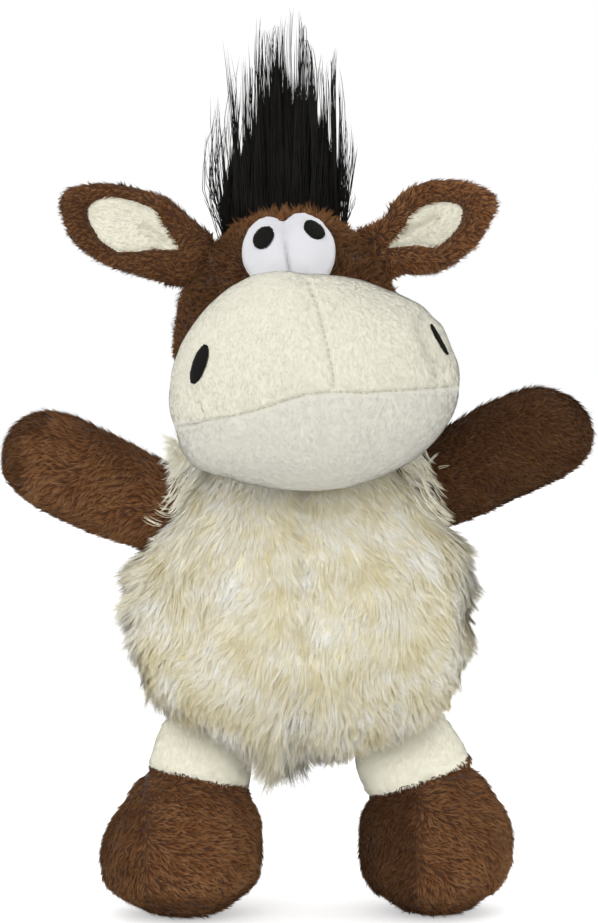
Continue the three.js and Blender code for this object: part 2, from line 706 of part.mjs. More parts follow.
function makeBellows() {
  const outer = bellowsProfile(0, BELLOWS.bottomZ);
  const inner = bellowsProfile(BELLOWS.wall, BELLOWS.bottomZ + BELLOWS.wall);
  const mouth = new THREE.Vector2(BELLOWS.mouth, BELLOWS_TOP);
  const mouthInside = new THREE.Vector2(BELLOWS.mouth, BELLOWS_TOP - BELLOWS.wall);
  const profile = [
    new THREE.Vector2(0, BELLOWS.bottomZ),
    ...outer,
    mouth,
    mouthInside,
    ...inner.reverse(),
    new THREE.Vector2(0, BELLOWS.bottomZ + BELLOWS.wall),
  ];
  return toSolid(revolve(profile, FACETS.limb));
}

function makePlug() {
  const seat = BELLOWS_TOP + SEAM_GAP;
  const stem = BELLOWS.mouth - SEAM_GAP;
  const profile = [
    [PLUG.airHole, seat - PLUG.stemLength],
    [stem, seat - PLUG.stemLength],
    [stem, seat],
    [PLUG.flange, seat],
    [PLUG.flange, seat + PLUG.flangeHeight],
    [PLUG.airHole, seat + PLUG.flangeHeight],
    [PLUG.airHole, seat - PLUG.stemLength],
  ].map(([radius, height]) => new THREE.Vector2(radius, height));
  return toSolid(revolve(profile, FACETS.small));
}

function squeakerPocket() {
  const radius = BELLOWS.radius + POCKET_GAP;
  const floorZ = BELLOWS.bottomZ - SEAM_GAP;
  const roofZ = BELLOWS_TOP + SEAM_GAP + PLUG.flangeHeight + SEAM_GAP;
  return toSolid(
    new THREE.CylinderGeometry(radius, radius, roofZ - floorZ, FACETS.limb)
      .rotateX(Math.PI / 2)
      .translate(0, 0, (roofZ + floorZ) / 2),
  );
}

// The way in, from the pocket out to the closing seam at the back
function squeakerChannel() {
  const width = BELLOWS.radius;
  const middleZ = BELLOWS.bottomZ + (BELLOWS.pitch * BELLOWS.folds) / 2;
  return toSolid(
    new THREE.BoxGeometry(width, BODY.halfWidth, BELLOWS.pitch)
      .translate(0, BODY.halfWidth / 2, middleZ),
  );
}

// The room that a limb's root sweeps in the body, from one end of its travel to the other
function sweptSeat(form, frame, axis, angles) {
  const corners = [];
  for (const angle of angles) {
    const turn = new THREE.Matrix4().makeRotationAxis(axis, degrees(angle));
    const turned = mergeVertices(form.clone().deleteAttribute("normal").deleteAttribute("uv"));
    const position = turned.applyMatrix4(turn).attributes.position;
    for (let i = 0; i < position.count; i++) {
      corners.push(new THREE.Vector3().fromBufferAttribute(position, i));
    }
  }
  return toSolid(new ConvexGeometry(corners).applyMatrix4(frame));
}

function armTurns(name) {
  const { down, up } = ARM_TRAVEL;
  return name === "left" ? [-down, 0, up] : [-up, 0, down];
}

function makeSeats() {
  const neckClearance = (NECK_BALL + SEAM_GAP) * facetAllowance(FACETS.neck) - NECK_BALL;
  const neck = toSolid(neckBall(neckClearance).applyMatrix4(headFrame));
  const tailRoot = tailForm(SEAT_GAP, 2 * TAIL.rootRadius);
  const tail = sweptSeat(tailRoot, tailFrame(), X_AXIS, [-TAIL_TRAVEL.down, 0, TAIL_TRAVEL.up]);
  let seats = neck.add(tail);
  for (const name of Object.keys(SIDES)) {
    seats = seats.add(sweptSeat(armSeatForm(), armFrame(name), Y_AXIS, armTurns(name)));
    const legTurns = [-LEG_TRAVEL.forward, -LEG_TRAVEL.forward / 2, LEG_TRAVEL.back];
    const cuff = cuffForm(-SEAT_GAP, LEG.cuffEnd, FACETS.seat);
    seats = seats.add(sweptSeat(cuff, legFrame(name), X_AXIS, legTurns));
  }
  return seats;
}

function makeBodySolids() {
  const seats = makeSeats();
  const rim = halfSpace(new THREE.Vector3(0, 0, NECK_Z - BODY_RIM_BELOW_NECK), Z_AXIS);
  const cover = toSolid(bodyForm(0))
    .subtract(toSolid(bodyForm(FUR)))
    .subtract(seats)
    .subtract(rim);
  const gap = SEAM_GAP / 2;
  const back = halfSpace(new THREE.Vector3(0, gap, 0), Y_AXIS);
  const front = halfSpace(new THREE.Vector3(0, -gap, 0), Y_AXIS.clone().negate());
  const leftSide = halfSpace(new THREE.Vector3(-gap, 0, 0), X_AXIS.clone().negate());
  const rightSide = halfSpace(new THREE.Vector3(gap, 0, 0), X_AXIS);
  return {
    body_front_left: cover.intersect(front).intersect(leftSide),
    body_front_right: cover.intersect(front).intersect(rightSide),
    body_back: cover.intersect(back),
    body_filling: toSolid(bodyForm(FUR + SEAM_GAP))
      .subtract(seats)
      .subtract(rim)
      .subtract(squeakerPocket())
      .subtract(squeakerChannel()),
  };
}

function mesh(name, solid, cloth) {
  const [color, roughness] = CLOTHS[cloth];
  const material = new THREE.MeshStandardMaterial({ color, roughness, metalness: 0 });
  const made = new THREE.Mesh(toGeometry(solid), material);
  made.name = name;
  return made;
}

function groupAt(matrix) {
  const group = new THREE.Group();
  matrix.decompose(group.position, group.quaternion, group.scale);
  return group;
}

function buildHead() {
  const group = groupAt(headFrame);
  const pieces = makeHeadSolids();
  group.add(mesh("head_cover", pieces.head_cover, "brown"));
  group.add(mesh("head_filling", pieces.head_filling, "filling"));
  for (const name of ["muzzle_left", "muzzle_right", "muzzle_jaw"]) {
    group.add(mesh(name, pieces[name], "cream"));
  }
  group.add(mesh("eye_whites", makeEyes(), "white"));
  group.add(mesh("mane", makeMane(), "black"));
  for (const [name, side] of Object.entries(SIDES)) {
    group.add(mesh("pupil_" + name, makePupil(name), "black"));
    group.add(mesh("nostril_" + name, makeNostril(side), "black"));
    const ear = groupAt(earFrame(name));
    const { cover, lining } = makeEar(side);
    ear.add(mesh("ear_" + name, cover, "brown"));
    ear.add(mesh("ear_lining_" + name, lining, "cream"));
    group.add(ear);
  }
  return group;
}

function buildArm(name) {
  const group = groupAt(armFrame(name));
  const rootCut = halfSpace(new THREE.Vector3(ROOT_OPENING - ARM.rootRadius, 0, 0), X_AXIS);
  const inside = toSolid(armForm(-PLUSH));
  const opened = toSolid(armForm(0)).intersect(rootCut).subtract(inside);
  group.add(mesh("arm_" + name, opened, "brown"));
  const filling = toSolid(armForm(-PLUSH - SEAM_GAP));
  group.add(mesh("arm_filling_" + name, filling, "filling"));
  return group;
}

function buildLeg(name) {
  const group = groupAt(legFrame(name));
  const { cuff, foot, sole, filling } = makeLeg(name);
  group.add(mesh("cuff_" + name, cuff, "cream"));
  group.add(mesh("foot_" + name, foot, "brown"));
  group.add(mesh("sole_" + name, sole, "brown"));
  group.add(mesh("leg_filling_" + name, filling, "filling"));
  return group;
}

function buildTail() {
  const group = groupAt(tailFrame());
  group.add(mesh("tail", toSolid(tailForm(0, TAIL.length)), "brown"));
  group.add(mesh("tail_tuft", toSolid(tuftForm()), "black"));
  return group;
}

function buildToy() {
  const toy = new THREE.Group();
  const body = makeBodySolids();
  for (const name of ["body_front_left", "body_front_right", "body_back"]) {
    toy.add(mesh(name, body[name], "fur"));
  }
  toy.add(mesh("body_filling", body.body_filling, "filling"));
  toy.add(mesh("squeaker_bellows", makeBellows(), "bellows"));
  toy.add(mesh("squeaker_plug", makePlug(), "plug"));
  toy.add(buildHead());
  for (const name of Object.keys(SIDES)) {
    toy.add(buildArm(name));
    toy.add(buildLeg(name));
  }
  toy.add(buildTail());

  const whole = new THREE.Group();
  whole.add(toy);
  whole.updateMatrixWorld(true);
  const box = new THREE.Box3().setFromObject(whole, true);
  const middle = box.getCenter(new THREE.Vector3());
  toy.position.set(-middle.x, -middle.y, -box.min.z);
  return whole;
}

export default buildToy();
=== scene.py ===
"""Looks of a plush donkey dog toy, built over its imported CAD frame.

Everything is in metres and in the CAD's frame: +Z is up and the donkey faces
-Y. Left and right are the sides that a viewer in front of the toy sees. Each
stuffed form is made from the CAD nodes that it replaces: they are merged,
remeshed, blown up as cloth with their seams held, and then given the pile of
their cloth as real fibres.
"""

from __future__ import annotations

import json
import logging
import math
from dataclasses import dataclass, field
from enum import Enum
from typing import Callable, Sequence

import bmesh
import bpy
import numpy as np
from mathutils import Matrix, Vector
from mathutils.bvhtree import BVHTree
from mathutils.kdtree import KDTree

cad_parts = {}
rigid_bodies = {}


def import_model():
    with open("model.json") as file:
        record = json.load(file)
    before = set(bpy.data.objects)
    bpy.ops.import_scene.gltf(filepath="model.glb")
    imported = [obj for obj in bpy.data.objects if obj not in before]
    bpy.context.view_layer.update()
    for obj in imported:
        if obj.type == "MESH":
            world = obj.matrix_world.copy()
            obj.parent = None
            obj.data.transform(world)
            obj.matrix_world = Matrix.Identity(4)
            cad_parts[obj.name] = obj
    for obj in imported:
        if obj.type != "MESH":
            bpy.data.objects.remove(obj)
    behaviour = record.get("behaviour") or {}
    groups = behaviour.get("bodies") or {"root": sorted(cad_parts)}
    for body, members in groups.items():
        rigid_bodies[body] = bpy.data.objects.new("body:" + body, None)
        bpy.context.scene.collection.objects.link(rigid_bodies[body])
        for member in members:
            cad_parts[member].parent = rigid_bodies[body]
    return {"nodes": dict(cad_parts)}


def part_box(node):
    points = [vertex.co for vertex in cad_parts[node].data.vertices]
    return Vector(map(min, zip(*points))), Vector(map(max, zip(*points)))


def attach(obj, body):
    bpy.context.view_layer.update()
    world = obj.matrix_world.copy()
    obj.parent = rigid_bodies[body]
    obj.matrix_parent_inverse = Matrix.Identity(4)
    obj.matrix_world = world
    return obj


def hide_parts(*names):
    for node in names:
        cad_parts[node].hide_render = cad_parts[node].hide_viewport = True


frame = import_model()

MM = 0.001
AIM = (0.00063, 0.0, 0.1671)  # the point that the camera looks at
CAMERA_DISTANCE = 1.4
CAMERA_ELEVATION = math.radians(3)
PICTURE_SHIFT = 0.37 * MM  # from the camera's middle to the picture's middle
Array = np.ndarray
Spot = tuple[float, float]  # (X, Z) in millimetres, as the camera sees it
Line = tuple[Spot, ...]
Table = tuple[tuple[float, ...], ...]
log = logging.getLogger("donkey")


class Side(Enum):
    """The two sides of the toy, as a viewer in front of it sees them."""

    LEFT = "left"
    RIGHT = "right"

    @property
    def sign(self) -> int:
        """-1 on the left and 1 on the right, as X runs."""
        return -1 if self is Side.LEFT else 1


# Numbers


def unit(vectors: Array) -> Array:
    """Scales vectors to a length of 1.

    Args:
        vectors: One vector per row.

    Returns:
        The same directions, each 1 long.
    """
    return vectors / np.maximum(np.linalg.norm(vectors, axis=-1, keepdims=True), 1e-12)


def flattened(vectors: Array, normals: Array) -> Array:
    """Lays vectors into the surface that the normals belong to.

    Args:
        vectors: One vector per row, or one for all.
        normals: The surface's normals.

    Returns:
        Unit vectors along the surface.
    """
    return unit(vectors - normals * np.sum(vectors * normals, axis=1, keepdims=True))


def turned(vectors: Array, normals: Array, angle: Array) -> Array:
    """Turns vectors that lie in a surface about its normals.

    Args:
        vectors: Unit vectors along the surface.
        normals: The surface's normals.
        angle: One angle per row, in radians.

    Returns:
        The turned vectors.
    """
    across = np.cross(normals, vectors)
    return vectors * np.cos(angle)[:, None] + across * np.sin(angle)[:, None]


def waves(places: Array, size_mm: float, seed: int) -> Array:
    """A smooth random field, made of sine waves in many directions.

    Args:
        places: Points in metres.
        size_mm: About how far apart its hills are.
        seed: Which field it is.

    Returns:
        One number per point, mostly from -1 to 1.
    """
    rng = np.random.default_rng(seed)
    total = np.zeros(len(places))
    for _ in range(14):
        direction = unit(rng.normal(size=3)) * (0.7 + 0.6 * rng.random())
        phase = rng.random() * 2 * math.pi
        total += np.sin(places @ direction * (2 * math.pi / (size_mm * MM)) + phase)
    return total / 4.0


def seen(places: Array) -> Array:
    """Where points show from the front, in the plane that faces the camera.

    Args:
        places: Points in metres.

    Returns:
        One (X, Z) per point, in millimetres: X from the picture's middle, and
        Z from the floor, in the upright plane through the camera's aim.
    """
    away = places - np.array(AIM)
    sine, cosine = math.sin(CAMERA_ELEVATION), math.cos(CAMERA_ELEVATION)
    scale = CAMERA_DISTANCE / (CAMERA_DISTANCE + away[:, 1] * cosine - away[:, 2] * sine)
    across = away[:, 0] * scale - PICTURE_SHIFT
    up = AIM[2] + (away[:, 1] * sine + away[:, 2] * cosine) * scale
    return np.stack((across, up), axis=1) / MM


def sight(x: float, z: float) -> tuple[Vector, Vector]:
    """The camera's line of sight through a point of the plane it faces.

    Args:
        x: The point's X in millimetres.
        z: The point's Z in millimetres.

    Returns:
        Where the line starts, and its direction.
    """
    sine, cosine = math.sin(CAMERA_ELEVATION), math.cos(CAMERA_ELEVATION)
    eye = Vector(AIM) + Vector((0, -cosine, sine)) * CAMERA_DISTANCE
    up = z * MM - AIM[2]
    spot = Vector((AIM[0] + PICTURE_SHIFT + x * MM, up * sine, AIM[2] + up * cosine))
    return eye, (spot - eye).normalized()


def at_depth(x: float, z: float, y: float) -> Array:
    """The place at a depth that the camera sees at a point of the picture.

    Args:
        x: Across the picture, in mm.
        z: Up the picture, in mm.
        y: The depth in metres.

    Returns:
        The place in metres.
    """
    eye, way = (np.array(part) for part in sight(x, z))
    return eye + way * ((y - eye[1]) / way[1])


def alike(vector: Sequence[float], count: int) -> Array:
    """The same vector for each of some points.

    Args:
        vector: The vector.
        count: How many points there are.

    Returns:
        The vector, once per row.
    """
    return np.array(vector) * np.ones((count, 1))


def ramp(values: Array, start: float, width: float) -> Array:
    """Rises from 0 at a start to 1 a width further, and stays there.

    Args:
        values: The values.
        start: Where it starts to rise.
        width: How wide the rise is.

    Returns:
        One number per value, from 0 to 1.
    """
    return np.clip((values - start) / width, 0, 1)


def bell(distance: Array, width: float) -> Array:
    """A bell curve: 1 at a distance of 0, and nearly 0 past twice the width.

    Args:
        distance: The distances.
        width: The distance at which it has fallen to about a third.

    Returns:
        One number per distance, from 0 to 1.
    """
    return np.exp(-((distance / width) ** 2))


def curved(start: Array, middle: Array, end: Array, steps: Array) -> Array:
    """Runs a smooth curve from one point through a second to a third.

    Args:
        start: Where it starts.
        middle: Where it passes, half way.
        end: Where it ends.
        steps: A column of shares of the way, from 0 to 1.

    Returns:
        One point of the curve per step.
    """
    pull = 2 * middle - (start + end) / 2
    return start * (1 - steps) ** 2 + pull * 2 * steps * (1 - steps) + end * steps**2


def near_line(places: Array, line: Sequence[Spot]) -> Array:
    """How far points lie from a line that is drawn on the toy from the front.

    Args:
        places: Points in metres.
        line: The line's points, as (X, Z) in millimetres.

    Returns:
        One distance per point, in millimetres, measured seen from the front.
    """
    flat = seen(places)
    best = np.full(len(flat), 1e9)
    for start, end in zip(line, line[1:]):
        a, b = np.array(start), np.array(end)
        along = np.clip((flat - a) @ (b - a) / ((b - a) @ (b - a)), 0, 1)
        best = np.minimum(best, np.linalg.norm(flat - a - along[:, None] * (b - a), axis=1))
    return best


def rounded(corners: Sequence[Spot], count: int = 8) -> list[Spot]:
    """Runs a smooth closed curve through corners.

    Args:
        corners: The corners, in order.
        count: How many points each span gets.

    Returns:
        The curve's points.
    """
    points = np.array(corners)
    curve = []
    for index in range(len(points)):
        a, b, c, d = (points[(index + step) % len(points)] for step in (-1, 0, 1, 2))
        for t in np.arange(count) / count:
            spot = b + 0.5 * t * (c - a + t * (2 * a - 5 * b + 4 * c - d + t * (3 * (b - c) + d - a)))
            curve.append((float(spot[0]), float(spot[1])))
    return curve


def within(places: Array, outline: Sequence[Spot]) -> Array:
    """Whether points, seen from the front, lie inside a closed outline.

    Args:
        places: Points in metres.
        outline: The outline, as (X, Z) in millimetres.

    Returns:
        True for each point inside.
    """
    x, z = seen(places).T
    odd = np.zeros(len(places), bool)
    for (ax, az), (bx, bz) in zip(outline, [*outline[1:], outline[0]]):
        if az != bz:
            odd ^= ((az > z) != (bz > z)) & (x < (bx - ax) * (z - az) / (bz - az) + ax)
    return odd


# Meshes


def coordinates(mesh: bpy.types.Mesh) -> Array:
    """Reads the places of a mesh's vertices.

    Args:
        mesh: The mesh.

    Returns:
        One place per row, in metres.
    """
    found = np.empty(len(mesh.vertices) * 3, np.float32)
    mesh.vertices.foreach_get("co", found)
    return found.reshape(-1, 3).astype(float)


def move_to(mesh: bpy.types.Mesh, places: Array) -> None:
    """Puts a mesh's vertices at new places.

    Args:
        mesh: The mesh.
        places: One place per vertex, in metres.
    """
    mesh.vertices.foreach_set("co", places.astype(np.float32).ravel())
    mesh.update()


def outward(mesh: bpy.types.Mesh) -> Array:
    """Reads the smooth normals at a mesh's vertices.

    Args:
        mesh: The mesh.

    Returns:
        One unit vector per vertex, which points out of the mesh.
    """
    found = np.empty(len(mesh.vertices) * 3, np.float32)
    mesh.vertex_normals.foreach_get("vector", found)
    return unit(found.reshape(-1, 3).astype(float))


def face_centres(mesh: bpy.types.Mesh) -> Array:
    """Reads the middles of a mesh's faces.

    Args:
        mesh: The mesh.

    Returns:
        One place per face, in metres.
    """
    found = np.empty(len(mesh.polygons) * 3, np.float32)
    mesh.polygons.foreach_get("center", found)
    return found.reshape(-1, 3).astype(float)


def merged_nodes(nodes: Sequence[str]) -> bmesh.types.BMesh:
    """Copies CAD nodes into one bmesh and merges their loose triangles.

    Args:
        nodes: The nodes' names.

    Returns:
        The bmesh, which the caller frees.
    """
    bm = bmesh.new()
    for node in nodes:
        bm.from_mesh(frame["nodes"][node].data)
    bmesh.ops.remove_doubles(bm, verts=bm.verts, dist=1e-6)
    return bm


def object_of(name: str, mesh: bpy.types.Mesh) -> bpy.types.Object:
    """Makes an object of a mesh, at the origin, and puts it in the scene.

    Args:
        name: The object's name.
        mesh: Its mesh.

    Returns:
        The object.
    """
    piece = bpy.data.objects.new(name, mesh)
    bpy.context.scene.collection.objects.link(piece)
    return piece


def applied(piece: bpy.types.Object) -> None:
    """Makes a piece's modifiers part of its mesh.

    Args:
        piece: The piece, which keeps its name and loses its modifiers.
    """
    graph = bpy.context.evaluated_depsgraph_get()
    shaped = bpy.data.meshes.new_from_object(piece.evaluated_get(graph))
    old = piece.data
    piece.modifiers.clear()
    piece.data = shaped
    bpy.data.meshes.remove(old)
    shaped.name = piece.name


def largest_shell(mesh: bpy.types.Mesh) -> None:
    """Deletes every shell of a mesh but the one with the most vertices.

    Args:
        mesh: The mesh to clean.
    """
    bm = bmesh.new()
    bm.from_mesh(mesh)
    bm.verts.ensure_lookup_table()
    left, shells = set(bm.verts), []
    while left:
        stack, shell = [left.pop()], []
        while stack:
            vertex = stack.pop()
            shell.append(vertex)
            for edge in vertex.link_edges:
                other = edge.other_vert(vertex)
                if other in left:
                    left.discard(other)
                    stack.append(other)
        shells.append(shell)
    shells.sort(key=len)
    for shell in shells[:-1]:
        bmesh.ops.delete(bm, geom=shell, context="VERTS")
    bm.to_mesh(mesh)
    bm.free()


class Reach:
    """Measures how far points are from some CAD nodes."""

    def __init__(self, nodes: Sequence[str]) -> None:
        """Builds the search tree of these nodes' faces.

        Args:
            nodes: The nodes' names.
        """
        bm = merged_nodes(nodes)
        self.tree = BVHTree.FromBMesh(bm)
        bm.free()

    def distance(self, places: Array) -> Array:
        """Each point's distance from the nearest face, in millimetres."""
        find = self.tree.find_nearest
        return np.array([find(place)[3] for place in places.tolist()]) / MM


# Materials


def linear(colour: str) -> tuple[float, float, float, float]:
    """Turns an sRGB hex colour into the linear values that a shader takes.

    Args:
        colour: The colour, such as "#d9d5c4".

    Returns:
        Red, green, blue and an alpha of 1.
    """
    parts = [int(colour[i : i + 2], 16) / 255 for i in (1, 3, 5)]
    red, green, blue = (
        part / 12.92 if part <= 0.04045 else ((part + 0.055) / 1.055) ** 2.4
        for part in parts
    )
    return red, green, blue, 1.0


def add_node(
    tree: bpy.types.NodeTree,
    kind: str,
    links: dict[str | int, object] | None = None,
    **settings: object,
) -> bpy.types.Node:
    """Adds one node with its settings and links.

    Args:
        tree: The tree that it goes in.
        kind: Blender's name of the node type.
        links: For each input, the output that feeds it or its value.
        **settings: The node's own settings. "stops" gives a ramp's colours.

    Returns:
        The new node.
    """
    node = tree.nodes.new(kind)
    for name, value in settings.items():
        if name == "stops":
            ramp = node.color_ramp
            while len(ramp.elements) < len(value):
                ramp.elements.new(0.5)
            for element, (place, colour) in zip(ramp.elements, value):
                element.position, element.color = place, linear(colour)
        else:
            setattr(node, name, value)
    for name, value in (links or {}).items():
        socket = node.inputs[name]
        if isinstance(value, bpy.types.NodeSocket):
            tree.links.new(value, socket)
        else:
            socket.default_value = value
    return node


def new_material(name: str) -> tuple[bpy.types.Material, bpy.types.Node]:
    """Makes a material that has only its Principled shader.

    Args:
        name: The material's name.

    Returns:
        The material and its shader node.
    """
    material = bpy.data.materials.new(name)
    material.use_nodes = True
    return material, material.node_tree.nodes["Principled BSDF"]


@dataclass(frozen=True)
class PolyesterFibre:
    """Crimped polyester pile fibre.

    It is dull and a little see-through, so it is rough with a soft sheen. Its
    colour changes from the root to the tip, from lock to lock and in patches.
    The darker root is partly its own colour and partly painted shade deep in the
    pile; the lighter tip is partly its own colour and partly a painted sheen.
    """

    name: str
    tones: tuple[tuple[float, str], ...]
    root: str
    tip: str
    patch_mm: float = 14.0
    root_share: float = 0.8
    tip_share: float = 0.5
    uneven: float = 0.25
    patchy: float = 0.6
    roughness: float = 0.75
    gloss: float = 0.15
    sheen: float = 0.05

    def material(self) -> bpy.types.Material:
        """Builds the fibre's material.

        Returns:
            The material. It reads the attribute "fibre": how far along the
            fibre, the fibre's own tone with its painted shade and light, and its
            lock's tone.
        """
        material, shader = new_material(self.name)
        tree = material.node_tree
        fibre = add_node(tree, "ShaderNodeAttribute", attribute_name="fibre")
        parts = add_node(tree, "ShaderNodeSeparateXYZ", {0: fibre.outputs["Vector"]})
        along, own, lock = parts.outputs
        place = add_node(tree, "ShaderNodeTexCoord").outputs["Object"]
        patch = add_node(
            tree,
            "ShaderNodeTexNoise",
            {"Vector": place, "Scale": 1 / (self.patch_mm * MM), "Detail": 2.0, "Roughness": 0.6},
        )
        spread = add_node(
            tree,
            "ShaderNodeMapRange",
            {"Value": patch.outputs["Fac"], "From Min": 0.3, "From Max": 0.7},
        )
        tone = add_node(
            tree, "ShaderNodeMix", {"Factor": self.patchy, 2: lock, 3: spread.outputs["Result"]}
        )
        ramp = add_node(tree, "ShaderNodeValToRGB", {"Fac": tone.outputs[0]}, stops=self.tones)
        # Painted shade: towards the root the fibre darkens, partly its own colour and partly the shade deep
        # in the pile.
        deep = add_node(
            tree,
            "ShaderNodeMapRange",
            {"Value": along, "From Min": 0.0, "From Max": 0.6, "To Min": self.root_share, "To Max": 0.0},
        )
        rooted = add_node(
            tree,
            "ShaderNodeMix",
            {"Factor": deep.outputs["Result"], 6: ramp.outputs["Color"], 7: linear(self.root)},
            data_type="RGBA",
        )
        # Towards the tip the fibre lightens: partly its own colour, partly a painted sheen.
        faded = add_node(
            tree,
            "ShaderNodeMapRange",
            {"Value": along, "From Min": 0.45, "From Max": 1.0, "To Min": 0.0, "To Max": self.tip_share},
        )
        tipped = add_node(
            tree,
            "ShaderNodeMix",
            {"Factor": faded.outputs["Result"], 6: rooted.outputs[2], 7: linear(self.tip)},
            data_type="RGBA",
        )
        # The fibre's random tone, together with the painted shade and light that the coat adds to it.
        shade = add_node(
            tree,
            "ShaderNodeMapRange",
            {"Value": own, "To Min": 1 - self.uneven, "To Max": 1 + self.uneven * 0.6},
        )
        final = add_node(
            tree,
            "ShaderNodeHueSaturation",
            {"Color": tipped.outputs[2], "Value": shade.outputs["Result"]},
        )
        tree.links.new(final.outputs["Color"], shader.inputs["Base Color"])
        shader.inputs["Roughness"].default_value = self.roughness
        shader.inputs["Specular IOR Level"].default_value = self.gloss
        shader.inputs["Sheen Weight"].default_value = self.sheen
        shader.inputs["Sheen Roughness"].default_value = 0.5
        return material


@dataclass(frozen=True)
class VelourPile(PolyesterFibre):
    """Short sheared velour. It looks even, because its roots hardly show."""

    patch_mm: float = 6.0
    root_share: float = 0.3
    tip_share: float = 0.4
    uneven: float = 0.13
    patchy: float = 0.5


@dataclass(frozen=True)
class KnitBacking:
    """Brushed polyester cloth: the ground that a pile is knitted into.

    It has no gloss. Its surface is a fine felt of loops and laid fibre.
    """

    name: str
    light: str
    dark: str
    grain_mm: float = 0.9
    blotch_mm: float = 7.0
    relief: float = 0.35
    sheen: float = 0.25

    def material(self) -> bpy.types.Material:
        """Builds the cloth's material.

        Returns:
            The material, on Object coordinates.
        """
        material, shader = new_material(self.name)
        tree = material.node_tree
        place = add_node(tree, "ShaderNodeTexCoord").outputs["Object"]
        blotch = add_node(
            tree,
            "ShaderNodeTexNoise",
            {"Vector": place, "Scale": 1 / (self.blotch_mm * MM), "Detail": 3.0},
        )
        grain = add_node(
            tree,
            "ShaderNodeTexNoise",
            {"Vector": place, "Scale": 1 / (self.grain_mm * MM), "Detail": 3.0, "Distortion": 0.6},
        )
        both = add_node(
            tree, "ShaderNodeMix", {"Factor": 0.6, 2: blotch.outputs["Fac"], 3: grain.outputs["Fac"]}
        )
        ramp = add_node(
            tree,
            "ShaderNodeValToRGB",
            {"Fac": both.outputs[0]},
            stops=((0.35, self.dark), (0.65, self.light)),
        )
        bump = add_node(
            tree,
            "ShaderNodeBump",
            {"Strength": self.relief, "Distance": 0.4 * MM, "Height": grain.outputs["Fac"]},
        )
        tree.links.new(ramp.outputs["Color"], shader.inputs["Base Color"])
        tree.links.new(bump.outputs["Normal"], shader.inputs["Normal"])
        shader.inputs["Roughness"].default_value = 0.9
        shader.inputs["Specular IOR Level"].default_value = 0.2
        shader.inputs["Sheen Weight"].default_value = self.sheen
        shader.inputs["Sheen Roughness"].default_value = 0.5
        return material


@dataclass(frozen=True)
class RayonThread:
    """Trilobal embroidery thread, laid side by side as satin stitch.

    It has a soft highlight, and a worn tone where its plies part.
    """

    name: str
    colour: str = "#0d0c0a"
    worn: str = "#1a1917"
    ply_mm: float = 0.5

    def material(self) -> bpy.types.Material:
        """Builds the thread's material.

        Returns:
            The material, on Object coordinates.
        """
        material, shader = new_material(self.name)
        tree = material.node_tree
        place = add_node(tree, "ShaderNodeTexCoord").outputs["Object"]
        ply = add_node(
            tree, "ShaderNodeTexNoise", {"Vector": place, "Scale": 1 / (self.ply_mm * MM), "Detail": 2.0}
        )
        ramp = add_node(
            tree,
            "ShaderNodeValToRGB",
            {"Fac": ply.outputs["Fac"]},
            stops=((0.35, self.colour), (0.75, self.worn)),
        )
        tree.links.new(ramp.outputs["Color"], shader.inputs["Base Color"])
        shader.inputs["Roughness"].default_value = 0.7
        shader.inputs["Specular IOR Level"].default_value = 0.1
        return material


@dataclass(frozen=True)
class MouldedPlastic:
    """Soft PVC or polyethylene as it leaves the mould, smooth and waxy."""

    name: str
    colour: str
    shade: str
    roughness: float = 0.4
    flow_mm: float = 4.0

    def material(self) -> bpy.types.Material:
        """Builds the plastic's material.

        Returns:
            The material, with faint flow marks.
        """
        material, shader = new_material(self.name)
        tree = material.node_tree
        place = add_node(tree, "ShaderNodeTexCoord").outputs["Object"]
        flow = add_node(
            tree, "ShaderNodeTexNoise", {"Vector": place, "Scale": 1 / (self.flow_mm * MM), "Detail": 2.0}
        )
        ramp = add_node(
            tree,
            "ShaderNodeValToRGB",
            {"Fac": flow.outputs["Fac"]},
            stops=((0.3, self.shade), (0.7, self.colour)),
        )
        bump = add_node(
            tree,
            "ShaderNodeBump",
            {"Strength": 0.1, "Distance": 0.05 * MM, "Height": flow.outputs["Fac"]},
        )
        tree.links.new(ramp.outputs["Color"], shader.inputs["Base Color"])
        tree.links.new(bump.outputs["Normal"], shader.inputs["Normal"])
        shader.inputs["Roughness"].default_value = self.roughness
        return material


